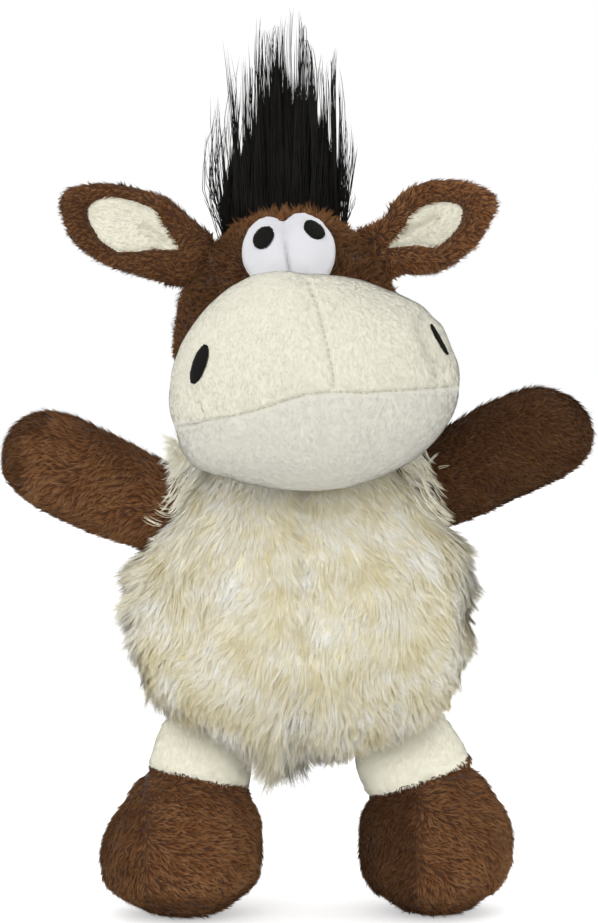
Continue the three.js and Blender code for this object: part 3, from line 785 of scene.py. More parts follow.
class Wardrobe:
    """Every finish of the toy, made once and shared by its pieces."""

    def __init__(self) -> None:
        """Builds the materials."""
        self.fur = PolyesterFibre(
            "shaggy_cream_fur",
            tones=(
                (0.15, "#d6ca9e"),
                (0.34, "#e7ddba"),
                (0.5, "#eee7ce"),
                (0.66, "#f1edda"),
                (0.85, "#f6f5ee"),
            ),
            root="#e2d7b2",
            tip="#f8f4e3",
            patch_mm=17,
            root_share=0.45,
            tip_share=0.3,
            uneven=0.14,
            patchy=0.65,
        ).material()
        self.fur_ground = KnitBacking("fur_backing_cream", light="#efe6c8", dark="#dbd0ac").material()
        # The brown's near-black root is painted shade deep in the pile, and its light tip partly a painted
        # sheen.
        self.brown = PolyesterFibre(
            "brown_plush_pile",
            tones=((0.2, "#724a2d"), (0.5, "#825a3a"), (0.8, "#8f6746")),
            root="#3c2010",
            tip="#97714f",
            patch_mm=9,
            root_share=0.85,
            tip_share=0.4,
            uneven=0.65,
            gloss=0.02,
            sheen=0.0,
            patchy=0.5,
        ).material()
        self.brown_ground = KnitBacking("brown_plush_backing", light="#4a2f1c", dark="#321c0e").material()
        # Painted light: this velour and its ground are the muzzle's cream velour painted lighter, against the
        # shade on the cuffs under the body.
        self.velour = VelourPile(
            "cream_velour_pile_painted_lighter",
            tones=((0.2, "#e5e1cd"), (0.5, "#e8e5d2"), (0.8, "#ebe8d7")),
            root="#e6e2cc",
            tip="#f2efdf",
            uneven=0.08,
        ).material()
        self.velour_ground_painted_lighter = KnitBacking(
            "cream_velour_ground_painted_lighter", light="#e6e3d0", dark="#e0dcc7", relief=0.1
        ).material()
        self.muzzle_pile = VelourPile(
            "cream_velour_pile",
            tones=((0.2, "#d1cebd"), (0.5, "#d4d1c0"), (0.8, "#d7d4c3")),
            root="#d2cfbe",
            tip="#dfdccd",
        ).material()
        self.muzzle_ground = KnitBacking(
            "cream_velour_ground", light="#d2cfbe", dark="#cecbba", relief=0.06
        ).material()
        self.jaw_pile = VelourPile(
            "pale_velour_pile",
            tones=((0.2, "#c8c6ba"), (0.5, "#cbc9bd"), (0.8, "#cecbc0")),
            root="#d2d0c7",
            tip="#dddcd5",
        ).material()
        self.jaw_ground = KnitBacking(
            "pale_velour_ground", light="#c9c7bb", dark="#c5c3b7", relief=0.06
        ).material()
        self.white = KnitBacking(
            "white_brushed_cloth", light="#cacace", dark="#c4c4c8", grain_mm=0.5, relief=0.12, sheen=0.1
        ).material()
        self.thread = RayonThread("black_satin_stitch").material()
        self.seam_thread = RayonThread("beige_sewing_thread", colour="#c4c0ae", worn="#b5b09d").material()
        self.hair = PolyesterFibre(
            "black_mane_hair",
            tones=((0.2, "#0f0e0b"), (0.6, "#161511"), (0.9, "#201f1b")),
            root="#0b0a08",
            tip="#1c1b18",
            patch_mm=12,
            uneven=0.3,
            roughness=0.42,
            sheen=0.0,
        ).material()
        self.bellows = MouldedPlastic("blow_moulded_pvc", "#e6e8e6", "#dcdedc").material()
        self.plug = MouldedPlastic("moulded_polyethylene", "#f0eeea", "#e6e3de", 0.5).material()


# Piles


class FibreShape:
    """One tapered fibre, made once and copied along many paths."""

    def __init__(self, stations: int, sides: int = 3) -> None:
        """Makes the fibre as a cone that is cut into stations.

        Args:
            stations: How many rings it has below its tip.
            sides: How many sides it has.
        """
        bm = bmesh.new()
        bmesh.ops.create_cone(
            bm, cap_ends=False, segments=sides, radius1=1, radius2=0, depth=1
        )
        bmesh.ops.translate(bm, verts=bm.verts, vec=(0, 0, 0.5))
        for cut in range(1, stations):
            bmesh.ops.bisect_plane(
                bm,
                geom=[*bm.verts, *bm.edges, *bm.faces],
                plane_co=(0, 0, cut / stations),
                plane_no=(0, 0, 1),
            )
        bmesh.ops.remove_doubles(bm, verts=bm.verts, dist=1e-5)
        bmesh.ops.recalc_face_normals(bm, faces=bm.faces)
        bmesh.ops.triangulate(bm, faces=bm.faces)
        bm.verts.index_update()
        places = np.array([vertex.co for vertex in bm.verts])
        self.faces = np.array([[v.index for v in face.verts] for face in bm.faces])
        bm.free()
        self.stations = stations
        self.station = np.rint(places[:, 2] * stations).astype(int)
        width = np.maximum(1 - places[:, 2], 1e-9)
        self.ring = np.where(self.station[:, None] < stations, places[:, :2] / width[:, None], 0)

    def copies(
        self,
        name: str,
        paths: Array,
        half_width: Array,
        taper: Sequence[float],
        facing: Array,
        tones: Array,
        flat: float = 0.6,
        laid: float = 0.0,
    ) -> bpy.types.Object:
        """Copies the fibre along paths, as one mesh.

        Args:
            name: The new object's name.
            paths: Points per station, fibre and axis, the tips last.
            half_width: Each fibre's half width at its widest, in metres.
            taper: The share of that width at each station.
            facing: The direction that each fibre's flat side faces.
            tones: Each fibre's own tone, with any painted shade and light in it, and its lock's tone, from 0
                to 1.
            flat: Its thickness as a share of its width.
            laid: How far its shading follows the cloth under it, as a dense
                pile's does, from 0 to 1.

        Returns:
            The object, with the attribute "fibre" and a bake map in which
            each fibre has a cell of its own.
        """
        count, corners = paths.shape[1], len(self.station)
        along = unit(np.gradient(paths, axis=0))
        across = unit(np.cross(along, facing[None]))
        over = np.cross(along, across)
        where = self.station
        wide = np.asarray(taper)[where][:, None, None] * half_width[None, :, None]
        sideways = across[where] * self.ring[:, 0][:, None, None]
        upwards = over[where] * self.ring[:, 1][:, None, None]
        places = (paths[where] + sideways * wide + upwards * wide * flat).transpose(1, 0, 2)
        faces = (np.arange(count)[:, None, None] * corners + self.faces[None]).reshape(-1, 3)
        mesh = bpy.data.meshes.new(name)
        mesh.vertices.add(count * corners)
        mesh.vertices.foreach_set("co", places.astype(np.float32).ravel())
        mesh.loops.add(len(faces) * 3)
        mesh.loops.foreach_set("vertex_index", faces.astype(np.int32).ravel())
        mesh.polygons.add(len(faces))
        mesh.polygons.foreach_set("loop_start", np.arange(0, len(faces) * 3, 3, dtype=np.int32))
        mesh.polygons.foreach_set("use_smooth", np.ones(len(faces), bool))
        share = where / self.stations
        told = np.empty((count, corners, 3), np.float32)
        told[..., 0] = share[None]
        told[..., 1] = tones[:, :1]
        told[..., 2] = tones[:, 1:2]
        mesh.attributes.new("fibre", "FLOAT_VECTOR", "POINT").data.foreach_set("vector", told.ravel())
        cells = math.ceil(math.sqrt(count))
        cell = np.stack((np.arange(count) % cells, np.arange(count) // cells), axis=1)
        inside = np.stack((0.5 + 0.35 * self.ring[:, 0], 0.1 + 0.8 * share), axis=1)
        flat_places = ((cell[:, None] + inside[None]) / cells).reshape(-1, 2)
        chart = mesh.uv_layers.new(name="OFBake")
        chart.data.foreach_set("uv", flat_places[faces.ravel()].astype(np.float32).ravel())
        mesh.update(calc_edges=True)
        if laid:
            shading = facing[None] * laid + (sideways + upwards) * (1 - laid)
            shading = unit(shading.transpose(1, 0, 2).reshape(-1, 3))
            mesh.normals_split_custom_set_from_vertices(shading.astype(np.float32))
        return object_of(name, mesh)


@dataclass(frozen=True)
class Roots:
    """Where a pile's fibres stand on their cloth."""

    places: Array
    normals: Array

    def only(self, keep: Array) -> "Roots":
        """The roots for which keep is true."""
        return Roots(self.places[keep], self.normals[keep])

    def combed(self, way: Array, swirl: float, size_mm: float, seed: int) -> Array:
        """Brushes the pile one way, with soft swirls in it.

        Args:
            way: The direction, for each root.
            swirl: How far the swirls turn it, in radians.
            size_mm: About how far apart they are.
            seed: Which random field they follow.

        Returns:
            One direction along the cloth per root.
        """
        turn = swirl * waves(self.places, size_mm, seed)
        return turned(flattened(way, self.normals), self.normals, turn)

    @staticmethod
    def on(piece: bpy.types.Object, per_mm2: float, rng: np.random.Generator) -> "Roots":
        """Spreads roots evenly over a piece.

        Args:
            piece: The cloth that they stand on.
            per_mm2: How many stand on each square millimetre.
            rng: The source of its random numbers.

        Returns:
            The roots.
        """
        mesh = piece.data
        mesh.calc_loop_triangles()
        corners = np.empty(len(mesh.loop_triangles) * 3, np.int32)
        mesh.loop_triangles.foreach_get("vertices", corners)
        corners = corners.reshape(-1, 3)
        places, normals = coordinates(mesh), outward(mesh)
        a, b, c = (places[corners[:, i]] for i in range(3))
        area = np.linalg.norm(np.cross(b - a, c - a), axis=1) / 2
        count = int(area.sum() / MM**2 * per_mm2)
        which = np.searchsorted(np.cumsum(area) / area.sum(), rng.random(count))
        which = which.clip(0, len(area) - 1)
        first, second = np.sqrt(rng.random(count)), rng.random(count)
        shares = np.stack((1 - first, first * (1 - second), first * second), axis=1)
        chosen = corners[which]
        return Roots(
            np.einsum("ni,nij->nj", shares, places[chosen]),
            unit(np.einsum("ni,nij->nj", shares, normals[chosen])),
        )


@dataclass(frozen=True)
class Coat:
    """How a pile grows: its fibres, its locks and how it lies."""

    per_mm2: float
    length_mm: float
    width_mm: float
    rise: float
    lock_mm: float
    gather: float
    unruly: float
    laid: float
    stations: int = 1
    curl: float = 0.0
    uneven: float = 0.3

    def paths(
        self,
        roots: Roots,
        comb: Array,
        rng: np.random.Generator,
        share: Array | float,
        stand: Array | float,
    ) -> tuple[Array, Array]:
        """Works out where each fibre runs.

        Args:
            roots: Where the fibres stand.
            comb: The direction in which each is brushed.
            rng: The source of its random numbers.
            share: Each fibre's length, as a share of the coat's.
            stand: How far each stands off the cloth, as a share of the coat's.

        Returns:
            The points per station, fibre and axis, and the fibres' tones.
        """
        count = len(roots.places)
        per_lock = max(1, int(self.per_mm2 * self.lock_mm**2))
        heads = rng.permutation(count)[: max(1, count // per_lock)]
        tree = KDTree(len(heads))
        for index, place in enumerate(roots.places[heads].tolist()):
            tree.insert(place, index)
        tree.balance()
        lock = np.array([tree.find(place)[1] for place in roots.places.tolist()])
        turn = rng.normal(0, self.unruly, len(heads))[lock] + rng.normal(0, self.unruly * 0.35, count)
        lean = turned(flattened(comb, roots.normals), roots.normals, turn)
        longer = 1 + self.uneven * rng.normal(0, 0.5, len(heads))[lock]
        longer += self.uneven * rng.normal(0, 0.5, count)
        length = self.length_mm * MM * np.clip(longer, 0.45, 1.6) * share
        higher = 1 + rng.normal(0, 0.25, len(heads))[lock] + rng.normal(0, 0.15, count)
        lift = np.clip(self.rise * stand * higher, 0.05, 0.98)
        side = np.cross(roots.normals, lean)
        bend = rng.normal(0, self.curl, len(heads))[lock] + rng.normal(0, self.curl * 0.4, count)
        points = []
        for s in np.linspace(0, 1, self.stations + 1):
            height = lift * s * 0.8
            points.append(
                roots.places
                + roots.normals * (height * length)[:, None]
                + lean * (np.sqrt(1 - (lift * 0.8) ** 2) * length * s)[:, None]
                + side * (bend * length * s * s)[:, None]
            )
        paths = np.stack(points)
        leader = paths[:, heads][:, lock]
        pull = (self.gather * np.linspace(0, 1, self.stations + 1) ** 1.3)[:, None, None]
        paths = paths * (1 - pull) + leader * pull
        tones = np.stack((rng.random(count), rng.random(len(heads))[lock]), axis=1)
        return paths, tones

    def grow(
        self,
        name: str,
        roots: Roots,
        comb: Array,
        seed: int,
        material: bpy.types.Material,
        share: Array | float = 1.0,
        stand: Array | float = 1.0,
        painted_shading: Array | float = 0.0,
    ) -> bpy.types.Object:
        """Grows the pile as one piece.

        Args:
            name: The piece's name.
            roots: Where the fibres stand.
            comb: The direction in which each is brushed.
            seed: Which random numbers it uses.
            material: The fibres' finish.
            share: Each fibre's length, as a share of the coat's.
            stand: How far each stands off the cloth, as a share of the coat's.
            painted_shading: Painted shade that darkens the fibres, down to -1, and painted light that
                lightens them, up to 1, for how the light falls on the pile.

        Returns:
            The piece.
        """
        rng = np.random.default_rng(seed)
        paths, tones = self.paths(roots, comb, rng, share, stand)
        # The fibre's random tone, narrowed, plus the painted shade and light asked for.
        tones[:, 0] = np.clip(0.5 + (tones[:, 0] - 0.5) * 0.38 + 0.45 * painted_shading, 0, 1)
        wide = self.width_mm * MM / 2 * (0.7 + 0.6 * rng.random(len(tones)))
        piece = FibreShape(self.stations).copies(
            name, paths, wide, np.linspace(1, 0, self.stations + 1), roots.normals, tones, laid=self.laid
        )
        piece.data.materials.append(material)
        return piece


FUR = Coat(
    per_mm2=5.4, length_mm=6.6, width_mm=0.25, rise=0.24, lock_mm=1.5, gather=0.42, unruly=0.24, laid=0.76
)
PLUSH = Coat(
    per_mm2=3.1, length_mm=3.4, width_mm=0.33, rise=0.36, lock_mm=1.0, gather=0.58, unruly=0.34, laid=0.5
)
HEAD_PLUSH = Coat(
    per_mm2=2.65, length_mm=3.9, width_mm=0.35, rise=0.46, lock_mm=1.5, gather=0.62, unruly=0.5, laid=0.42
)
VELOUR = Coat(
    per_mm2=3.0, length_mm=1.4, width_mm=0.21, rise=0.14, lock_mm=0.6, gather=0.1, unruly=0.14, laid=0.98
)


# Sewn forms


@dataclass
class SewnForm:
    """A stuffed cloth form, made from the CAD nodes that it stands for."""

    name: str
    nodes: tuple[str, ...]
    body: str
    slot: str
    voxel_mm: float = 3.0
    inset_mm: float = 2.0
    swell_mm: float = 1.5
    fill: float = 0.8
    seams: tuple[tuple[tuple[str, ...], tuple[str, ...]], ...] = ()
    drawn: tuple[Line, ...] = ()
    seam_depth_mm: float = 1.2
    seam_width_mm: float = 1.4
    seam_hold: float = 0.7
    seam_hold_mm: float = 5.0
    pucker_mm: float = 0.3
    hull: bool = False
    evened: int = 6
    levels: int = 1
    blown_frames: int = 20
    piece: bpy.types.Object = field(init=False)

    def build(self) -> bpy.types.Object:
        """Makes the form.

        Returns:
            The piece, which rides on its body and replaces its CAD nodes.
        """
        bm = self.cut_out()
        mesh = bpy.data.meshes.new(self.name)
        bm.to_mesh(mesh)
        bm.free()
        self.piece = object_of(self.name, mesh)
        self.remesh()
        self.inset()
        self.inflate()
        self.refine()
        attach(self.piece, self.body)
        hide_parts(*self.nodes)
        return self.piece

    def cut_out(self) -> bmesh.types.BMesh:
        """Makes the rough solid that the skin is drawn over.

        Returns:
            The CAD nodes' faces, or the hull round them, as a bmesh.
        """
        bm = merged_nodes(self.nodes)
        if self.hull:
            found = bmesh.ops.convex_hull(bm, input=bm.verts)
            left_over = found["geom_interior"] + found["geom_unused"]
            inside = {part for part in left_over if isinstance(part, bmesh.types.BMVert)}
            bmesh.ops.delete(bm, geom=list(inside), context="VERTS")
        return bm

    def remesh(self) -> None:
        """Joins the nodes' walls and filling into one closed, even skin."""
        change = self.piece.modifiers.new("skin", "REMESH")
        change.mode = "VOXEL"
        change.voxel_size = self.voxel_mm * MM
        change.use_smooth_shade = True
        applied(self.piece)
        largest_shell(self.piece.data)
        bm = bmesh.new()
        bm.from_mesh(self.piece.data)
        for _ in range(self.evened):
            bmesh.ops.smooth_vert(
                bm, verts=bm.verts, factor=0.5, use_axis_x=True, use_axis_y=True, use_axis_z=True
            )
        bmesh.ops.recalc_face_normals(bm, faces=bm.faces)
        bm.to_mesh(self.piece.data)
        bm.free()

    def inset(self) -> None:
        """Takes the skin in by the depth of its pile and by what it swells.

        What the evening has already taken off it is measured and counted.
        """
        mesh = self.piece.data
        places = coordinates(mesh)
        lost = float(np.median(Reach(self.nodes).distance(places)))
        depth = (self.inset_mm + self.swell_mm - lost) * MM
        log.info("%s: evening took %.2f mm", self.name, lost)
        move_to(mesh, places - outward(mesh) * depth)

    def seam_distance(self, places: Array) -> Array:
        """How far points on the skin lie from its nearest seam.

        Args:
            places: The points.

        Returns:
            One distance per point, in millimetres.
        """
        best = np.full(len(places), 1e9)
        for first, second in self.seams:
            a, b = Reach(first).distance(places), Reach(second).distance(places)
            best = np.minimum(best, np.maximum(np.abs(a - b), np.minimum(a, b) - 1.5))
        for line in self.drawn:
            best = np.minimum(best, near_line(places, line))
        return best

    def inflate(self) -> None:
        """Blows the skin up as cloth, with the seams held in place."""
        mesh = self.piece.data
        start, normals = coordinates(mesh), outward(mesh)
        seam = self.seam_distance(start)
        free = 1 - self.seam_hold * bell(seam, self.seam_hold_mm)
        held = self.piece.vertex_groups.new(name="held")
        held.add(np.flatnonzero(seam < self.voxel_mm * 0.6).tolist(), 1.0, "REPLACE")
        cloth = self.piece.modifiers.new("cloth", "CLOTH")
        settings = cloth.settings
        settings.quality = 5
        settings.mass = 0.0006
        settings.tension_stiffness = settings.compression_stiffness = 8
        settings.shear_stiffness = 3
        settings.bending_stiffness = 0.2
        settings.use_pressure = True
        settings.uniform_pressure_force = 4
        settings.effector_weights.gravity = 0
        settings.vertex_group_mass = "held"
        cloth.point_cache.frame_start, cloth.point_cache.frame_end = 1, self.blown_frames
        scene = bpy.context.scene
        for moment in range(1, self.blown_frames + 1):
            scene.frame_set(moment)
        applied(self.piece)
        scene.frame_set(1)
        moved = coordinates(self.piece.data) - start
        size = np.linalg.norm(moved, axis=1)
        told = "%s: cloth moved %.2f mm at most, %.2f mm on average"
        log.info(told, self.name, size.max() / MM, size.mean() / MM)
        moved *= np.minimum(1, 2.5 * self.swell_mm * MM / np.maximum(size, 1e-9))[:, None]
        lack = self.swell_mm * MM - float(np.mean(np.sum(moved * normals, axis=1)))
        move_to(self.piece.data, start + moved + normals * (lack * free)[:, None])

    def refine(self) -> None:
        """Subdivides the skin and draws its seams in."""
        finer = self.piece.modifiers.new("finer", "SUBSURF")
        finer.levels = finer.render_levels = self.levels
        applied(self.piece)
        mesh = self.piece.data
        self.piece.vertex_groups.clear()
        places = coordinates(mesh)
        seam = self.seam_distance(places)
        groove = self.seam_depth_mm * MM * bell(seam, self.seam_width_mm)
        pucker = self.pucker_mm * MM * waves(places, 5, 11) * bell(seam, 4)
        normals = outward(mesh)
        fade = np.clip(-normals[:, 1] * 2.4 - 0.3, 0, 1) if self.drawn else 1.0
        move_to(mesh, places - normals * ((groove - pucker) * fade)[:, None])
        for polygon in mesh.polygons:
            polygon.use_smooth = True

    def dress(
        self, materials: Sequence[bpy.types.Material], groups: Sequence[tuple[str, ...]] = ()
    ) -> None:
        """Gives the skin its cloth.

        Args:
            materials: The cloths.
            groups: For each cloth, the CAD nodes whose faces wear it.
        """
        mesh = self.piece.data
        mesh.materials.clear()
        for material in materials:
            mesh.materials.append(material)
        if len(materials) > 1:
            centres = face_centres(mesh)
            far = np.stack([Reach(group).distance(centres) for group in groups])
            mesh.polygons.foreach_set("material_index", far.argmin(0).astype(np.int32))

    def finish(self) -> None:
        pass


@dataclass
class LeafForm(SewnForm):
    """A flat padded form that is cut by an outline seen from the front."""

    outline: Line = ()
    lining: Line = ()
    folds: tuple[Line, ...] = ()
    thickness_mm: float = 4.4
    cup_mm: float = 1.8
    cup_reach_mm: float = 7.0
    lining_seam_mm: float = 0.8
    lining_sunk_mm: float = 0.7
    fold_mm: float = 1.8
    unevenness_mm: float = 0.5

    def plane(self) -> tuple[Array, Array]:
        """The middle plane of the CAD node that it stands for.

        Returns:
            A point on it, and its normal, which faces the front.
        """
        places = coordinates(frame["nodes"][self.nodes[0]].data)
        middle = (places.max(0) + places.min(0)) / 2
        normal = np.linalg.svd(places - places.mean(0), full_matrices=False)[2][2]
        return middle, normal if normal[1] < 0 else -normal

    def cut_out(self) -> bmesh.types.BMesh:
        """Cuts the leaf by its outline, in the plane of its CAD node.

        Returns:
            The leaf as a plate, in a bmesh.
        """
        middle, normal = self.plane()
        bm = bmesh.new()
        ring = []
        for x, z in rounded(self.outline):
            eye, way = sight(x, z)
            reach = (Vector(middle) - eye).dot(Vector(normal)) / way.dot(Vector(normal))
            spot = np.array(eye + way * reach)
            ring.append(bm.verts.new(spot - normal * self.thickness_mm / 2 * MM))
        leaf = bm.faces.new(ring)
        grown = bmesh.ops.extrude_face_region(bm, geom=[leaf])
        moved = [part for part in grown["geom"] if isinstance(part, bmesh.types.BMVert)]
        bmesh.ops.translate(bm, verts=moved, vec=Vector(normal * self.thickness_mm * MM))
        bmesh.ops.recalc_face_normals(bm, faces=bm.faces)
        bmesh.ops.triangulate(bm, faces=bm.faces)
        return bm

    def inset(self) -> None:
        """Leaves the leaf at the size that it was cut to."""

    def front(self) -> Array:
        """How squarely each vertex of the leaf faces the front, from 0 to 1."""
        return np.clip(outward(self.piece.data) @ self.plane()[1], 0, 1)

    def seam_distance(self, places: Array) -> Array:
        """How far points lie from the lining's edge.

        Args:
            places: The points.

        Returns:
            One distance per point, in millimetres.
        """
        if not self.lining:
            return np.full(len(places), 1e9)
        edge = rounded(self.lining)
        return near_line(places, [*edge, edge[0]])

    def refine(self) -> None:
        """Subdivides the leaf, cups it, and lets the lining into its front."""
        finer = self.piece.modifiers.new("finer", "SUBSURF")
        finer.levels = finer.render_levels = self.levels
        applied(self.piece)
        mesh = self.piece.data
        self.piece.vertex_groups.clear()
        places, front, normal = coordinates(mesh), self.front(), self.plane()[1]
        rim = rounded(self.outline)
        edge = near_line(places, [*rim, rim[0]])
        seam = self.seam_distance(places)
        cup = self.cup_mm * (1 - bell(edge, self.cup_reach_mm))
        on_front = front > 0.3
        cup = cup * on_front if self.cup_mm < 0 else cup
        groove = self.lining_seam_mm * bell(seam, 0.9) * on_front
        sunk = 0.0
        if self.lining:
            sunk = self.lining_sunk_mm * within(places, rounded(self.lining)) * on_front
        for fold in self.folds:
            groove += self.fold_mm * bell(near_line(places, fold), 1.5) * on_front
        soft = self.unevenness_mm * waves(places, 16, 57)
        move_to(mesh, places - normal * (MM * (cup + groove + sunk + soft))[:, None])
        for polygon in mesh.polygons:
            polygon.use_smooth = True


def worn_by(roots: Roots, groups: Sequence[tuple[str, ...]]) -> Array:
    """Which group of CAD nodes each root is nearest to.

    Args:
        roots: The roots.
        groups: The groups of nodes.

    Returns:
        The number of each root's group.
    """
    return np.stack([Reach(group).distance(roots.places) for group in groups]).argmin(0)


# Assemblies


@dataclass
class ShaggyBody:
    """The round body in long fur, with its two front panels and its back."""

    wardrobe: Wardrobe
    cloth_inset_mm: float = 1.6
    clear_of_limbs_mm: float = 0.7
    clear_of_legs_mm: float = 3.0
    short_by_legs: Table = ((3, 13), (0.3, 1.0))
    short_by_limbs: Table = ((0.7, 5), (0.55, 1.0))
    short_ends: Table = ((1, 5), (0.4, 1.0))
    tufts_turn: float = 0.8
    tufts_longer: float = 0.8
    tufts_stand: float = 1.6
    sides_stand: float = 1.1
    under_stands: float = 3.0
    # Painted light: the fur is painted lighter on top, where the chin shades it, and at the sides.
    top_painted_light: float = 1.2
    side_painted_light: float = 0.7
    middle_x: float = 0.0027
    side_seam_y: float = 0.008
    hanging_at_mm: float = -6.0
    hanging_width_mm: float = 8.5
    hanging_longer: float = 2.0
    wisp_width_mm: float = 0.26
    tufts: tuple[tuple[float, float, float, float], ...] = (
        (-60, 131, 7, 1), (-61, 117, 6, 1), (-60, 105, 5, 0.5), (-56, 85, 5, 0.5), (61, 138, 6, 0.6),
        (64, 123, 5, 1), (63, 105, 5, 0.6),
    )
    fuller_left: Table = (
        (60, 65, 70, 78, 86, 95, 104, 112, 120, 130, 142, 150),
        (0, 5, 6.4, 5, 5.6, 3.8, 4.4, 4.4, 5.6, 4.6, 2, 0),
    )
    fuller_right: Table = (
        (60, 70, 78, 86, 95, 105, 112, 120, 128, 137, 146),
        (0, 6, 4.2, 2, 1.6, 2, 1.4, 2.8, 3.4, 3.4, 0.5),
    )
    fringe: Table = (
        (-48, 144.2, 0.1, -56.9, 147.2, 9), (-43.5, 157.5, 0.25, -49.8, 154.2, 8),
        (-44, 164.5, 0.12, -49.5, 160, 7), (-46.5, 150.5, 0.15, -51.8, 151, 5),
        (-52, 138, -0.15, -55.8, 138.6, 6), (-46, 147.5, 0.1, -53.5, 149.5, 5),
        (-40, 165, -0.1, -48.8, 167.5, 30), (-40, 167, -0.1, -48.3, 171.5, 30),
        (-40, 168, -0.06, -47.4, 174.8, 26), (-40, 168, -0.05, -45, 176, 26),
        (-37, 172, 0.1, -43.5, 163.5, 40), (-41, 174, 0.1, -47.5, 165.5, 40),
        (-37, 167, 0.1, -43, 158, 40), (-41, 168, 0.1, -46.5, 159, 40),
        (-36, 162, 0.1, -42.5, 153.5, 40), (-40, 161.5, 0.1, -46, 153, 40),
        (-43, 158, 0.1, -48, 149.5, 30), (-41, 155, 0.1, -46.5, 147, 30), (36, 172, -0.1, 43, 163, 40),
        (40, 174, -0.1, 46.5, 165.5, 40), (37, 167, -0.1, 43.5, 158, 40),
        (41, 169, -0.1, 47.5, 160.5, 40), (37, 161, -0.1, 45, 152.5, 40),
        (42, 163, -0.1, 49.5, 154.5, 40), (44, 157, -0.1, 51.5, 148.5, 40),
        (41, 155, -0.1, 49, 146.5, 36), (48, 151, -0.1, 56, 144, 30), (48, 164, 0.1, 54, 164.8, 3),
        (45.5, 166, 0.1, 49.5, 170, 4),
    )
    form: SewnForm = field(init=False)

    def comb(self, roots: Roots) -> Array:
        """Which way the fur is brushed: down, and away from the middle.

        Args:
            roots: Where the fibres stand.

        Returns:
            One direction per root.
        """
        place = roots.places / MM
        out = np.stack((place[:, 0] * 0.008, place[:, 1] * 0.004, np.full(len(place), -1.0)), axis=1)
        lying = flattened(out, roots.normals)
        swirl = 0.42 * waves(roots.places, 40, 3) + 0.22 * waves(roots.places, 15, 4)
        return turned(lying, roots.normals, swirl)

    def fill_out(self, piece: bpy.types.Object) -> None:
        """Fills the body out at its sides, where the stuffing presses most.

        Args:
            piece: The body's cloth.
        """
        mesh = piece.data
        places, normals = coordinates(mesh), outward(mesh)
        tall = places[:, 2] / MM
        left = np.interp(tall, self.fuller_left[0], self.fuller_left[1])
        right = np.interp(tall, self.fuller_right[0], self.fuller_right[1])
        fuller = np.where(normals[:, 0] < 0, left, right) * np.abs(normals[:, 0]) ** 2
        move_to(mesh, places + normals * (fuller * MM)[:, None])

    def lay_fringe(self, piece: bpy.types.Object) -> None:
        """Lays the loose wisps of fur that fall over the arms' roots.

        Args:
            piece: The body's cloth.
        """
        tree = BVHTree.FromObject(piece, bpy.context.evaluated_depsgraph_get())
        rng = np.random.default_rng(29)
        steps = np.linspace(0, 1, 5)[:, None]
        strands = []
        for root_x, root_z, bow, tip_x, tip_z, hairs in self.fringe:
            eye, way = sight(root_x, root_z)
            found = tree.ray_cast(eye, way)[0]
            root = at_depth(root_x, root_z, 0.006) if found is None else np.array(found)
            tip = at_depth(tip_x, tip_z, min(root[1], -0.004) - 0.0012)
            side = np.array((-(tip - root)[2], 0.0, (tip - root)[0]))
            locks = rng.normal(0, 0.6 + 0.05 * hairs, (max(hairs // 2, 1), 3))
            for _ in range(hairs * 2 if hairs > 20 else hairs):
                lock = locks[rng.integers(len(locks))]
                end = tip + (0.8 * lock + rng.normal(0, 0.35, 3)) * MM * np.array((1, 0.3, 1))
                start = root + (lock + rng.normal(0, 0.5, 3)) * MM
                middle = (start + end) / 2 + side * (bow + rng.normal(0, 0.03)) + np.array((0, -0.0012, 0))
                strands.append(curved(start, middle, end, steps))
        paths = np.array(strands).transpose(1, 0, 2)
        count = len(strands)
        fringe = FibreShape(4).copies(
            "body_fringe",
            paths,
            np.full(count, self.wisp_width_mm / 2 * MM),
            [1, 1, 0.85, 0.6, 0.0],
            alike((0.0, -1.0, 0.0), count),
            np.stack((rng.uniform(0.05, 0.6, count), np.full(count, 0.6)), axis=1),
            laid=0.7,
        )
        fringe.data.materials.append(self.wardrobe.fur)
        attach(fringe, "body")

    def tufted(self, roots: Roots) -> Array:
        """How much each fibre belongs to a tuft that sticks out at the side.

        Args:
            roots: Where the fibres stand.

        Returns:
            One number per root, from 0 to 1.
        """
        flat = seen(roots.places)
        tuft = np.zeros(len(flat))
        for x, z, size, gain in self.tufts:
            away = np.linalg.norm(flat - np.array((x, z)), axis=1)
            tuft = np.maximum(tuft, gain * bell(away, size))
        return tuft

    def build(self) -> None:
        """Makes the body's cloth, the four pieces of its fur and its fringe."""
        piece = self.build_cloth()
        self.grow_fur(piece)
        self.lay_fringe(piece)
        self.form.finish()

    def build_cloth(self) -> bpy.types.Object:
        """Makes the cloth that the fur is knitted into.

        Returns:
            The piece.
        """
        fronts = (("body_front_left",), ("body_front_right",))
        self.form = SewnForm(
            "body_cloth",
            ("body_front_left", "body_front_right", "body_back", "body_filling"),
            "body",
            "body_fur",
            voxel_mm=4.0,
            inset_mm=self.cloth_inset_mm,
            swell_mm=2.0,
            fill=0.85,
            seams=(fronts, (("body_front_left", "body_front_right"), ("body_back",))),
            seam_depth_mm=2.0,
            seam_width_mm=2.5,
        )
        piece = self.form.build()
        self.fill_out(piece)
        self.form.dress([self.wardrobe.fur_ground])
        return piece

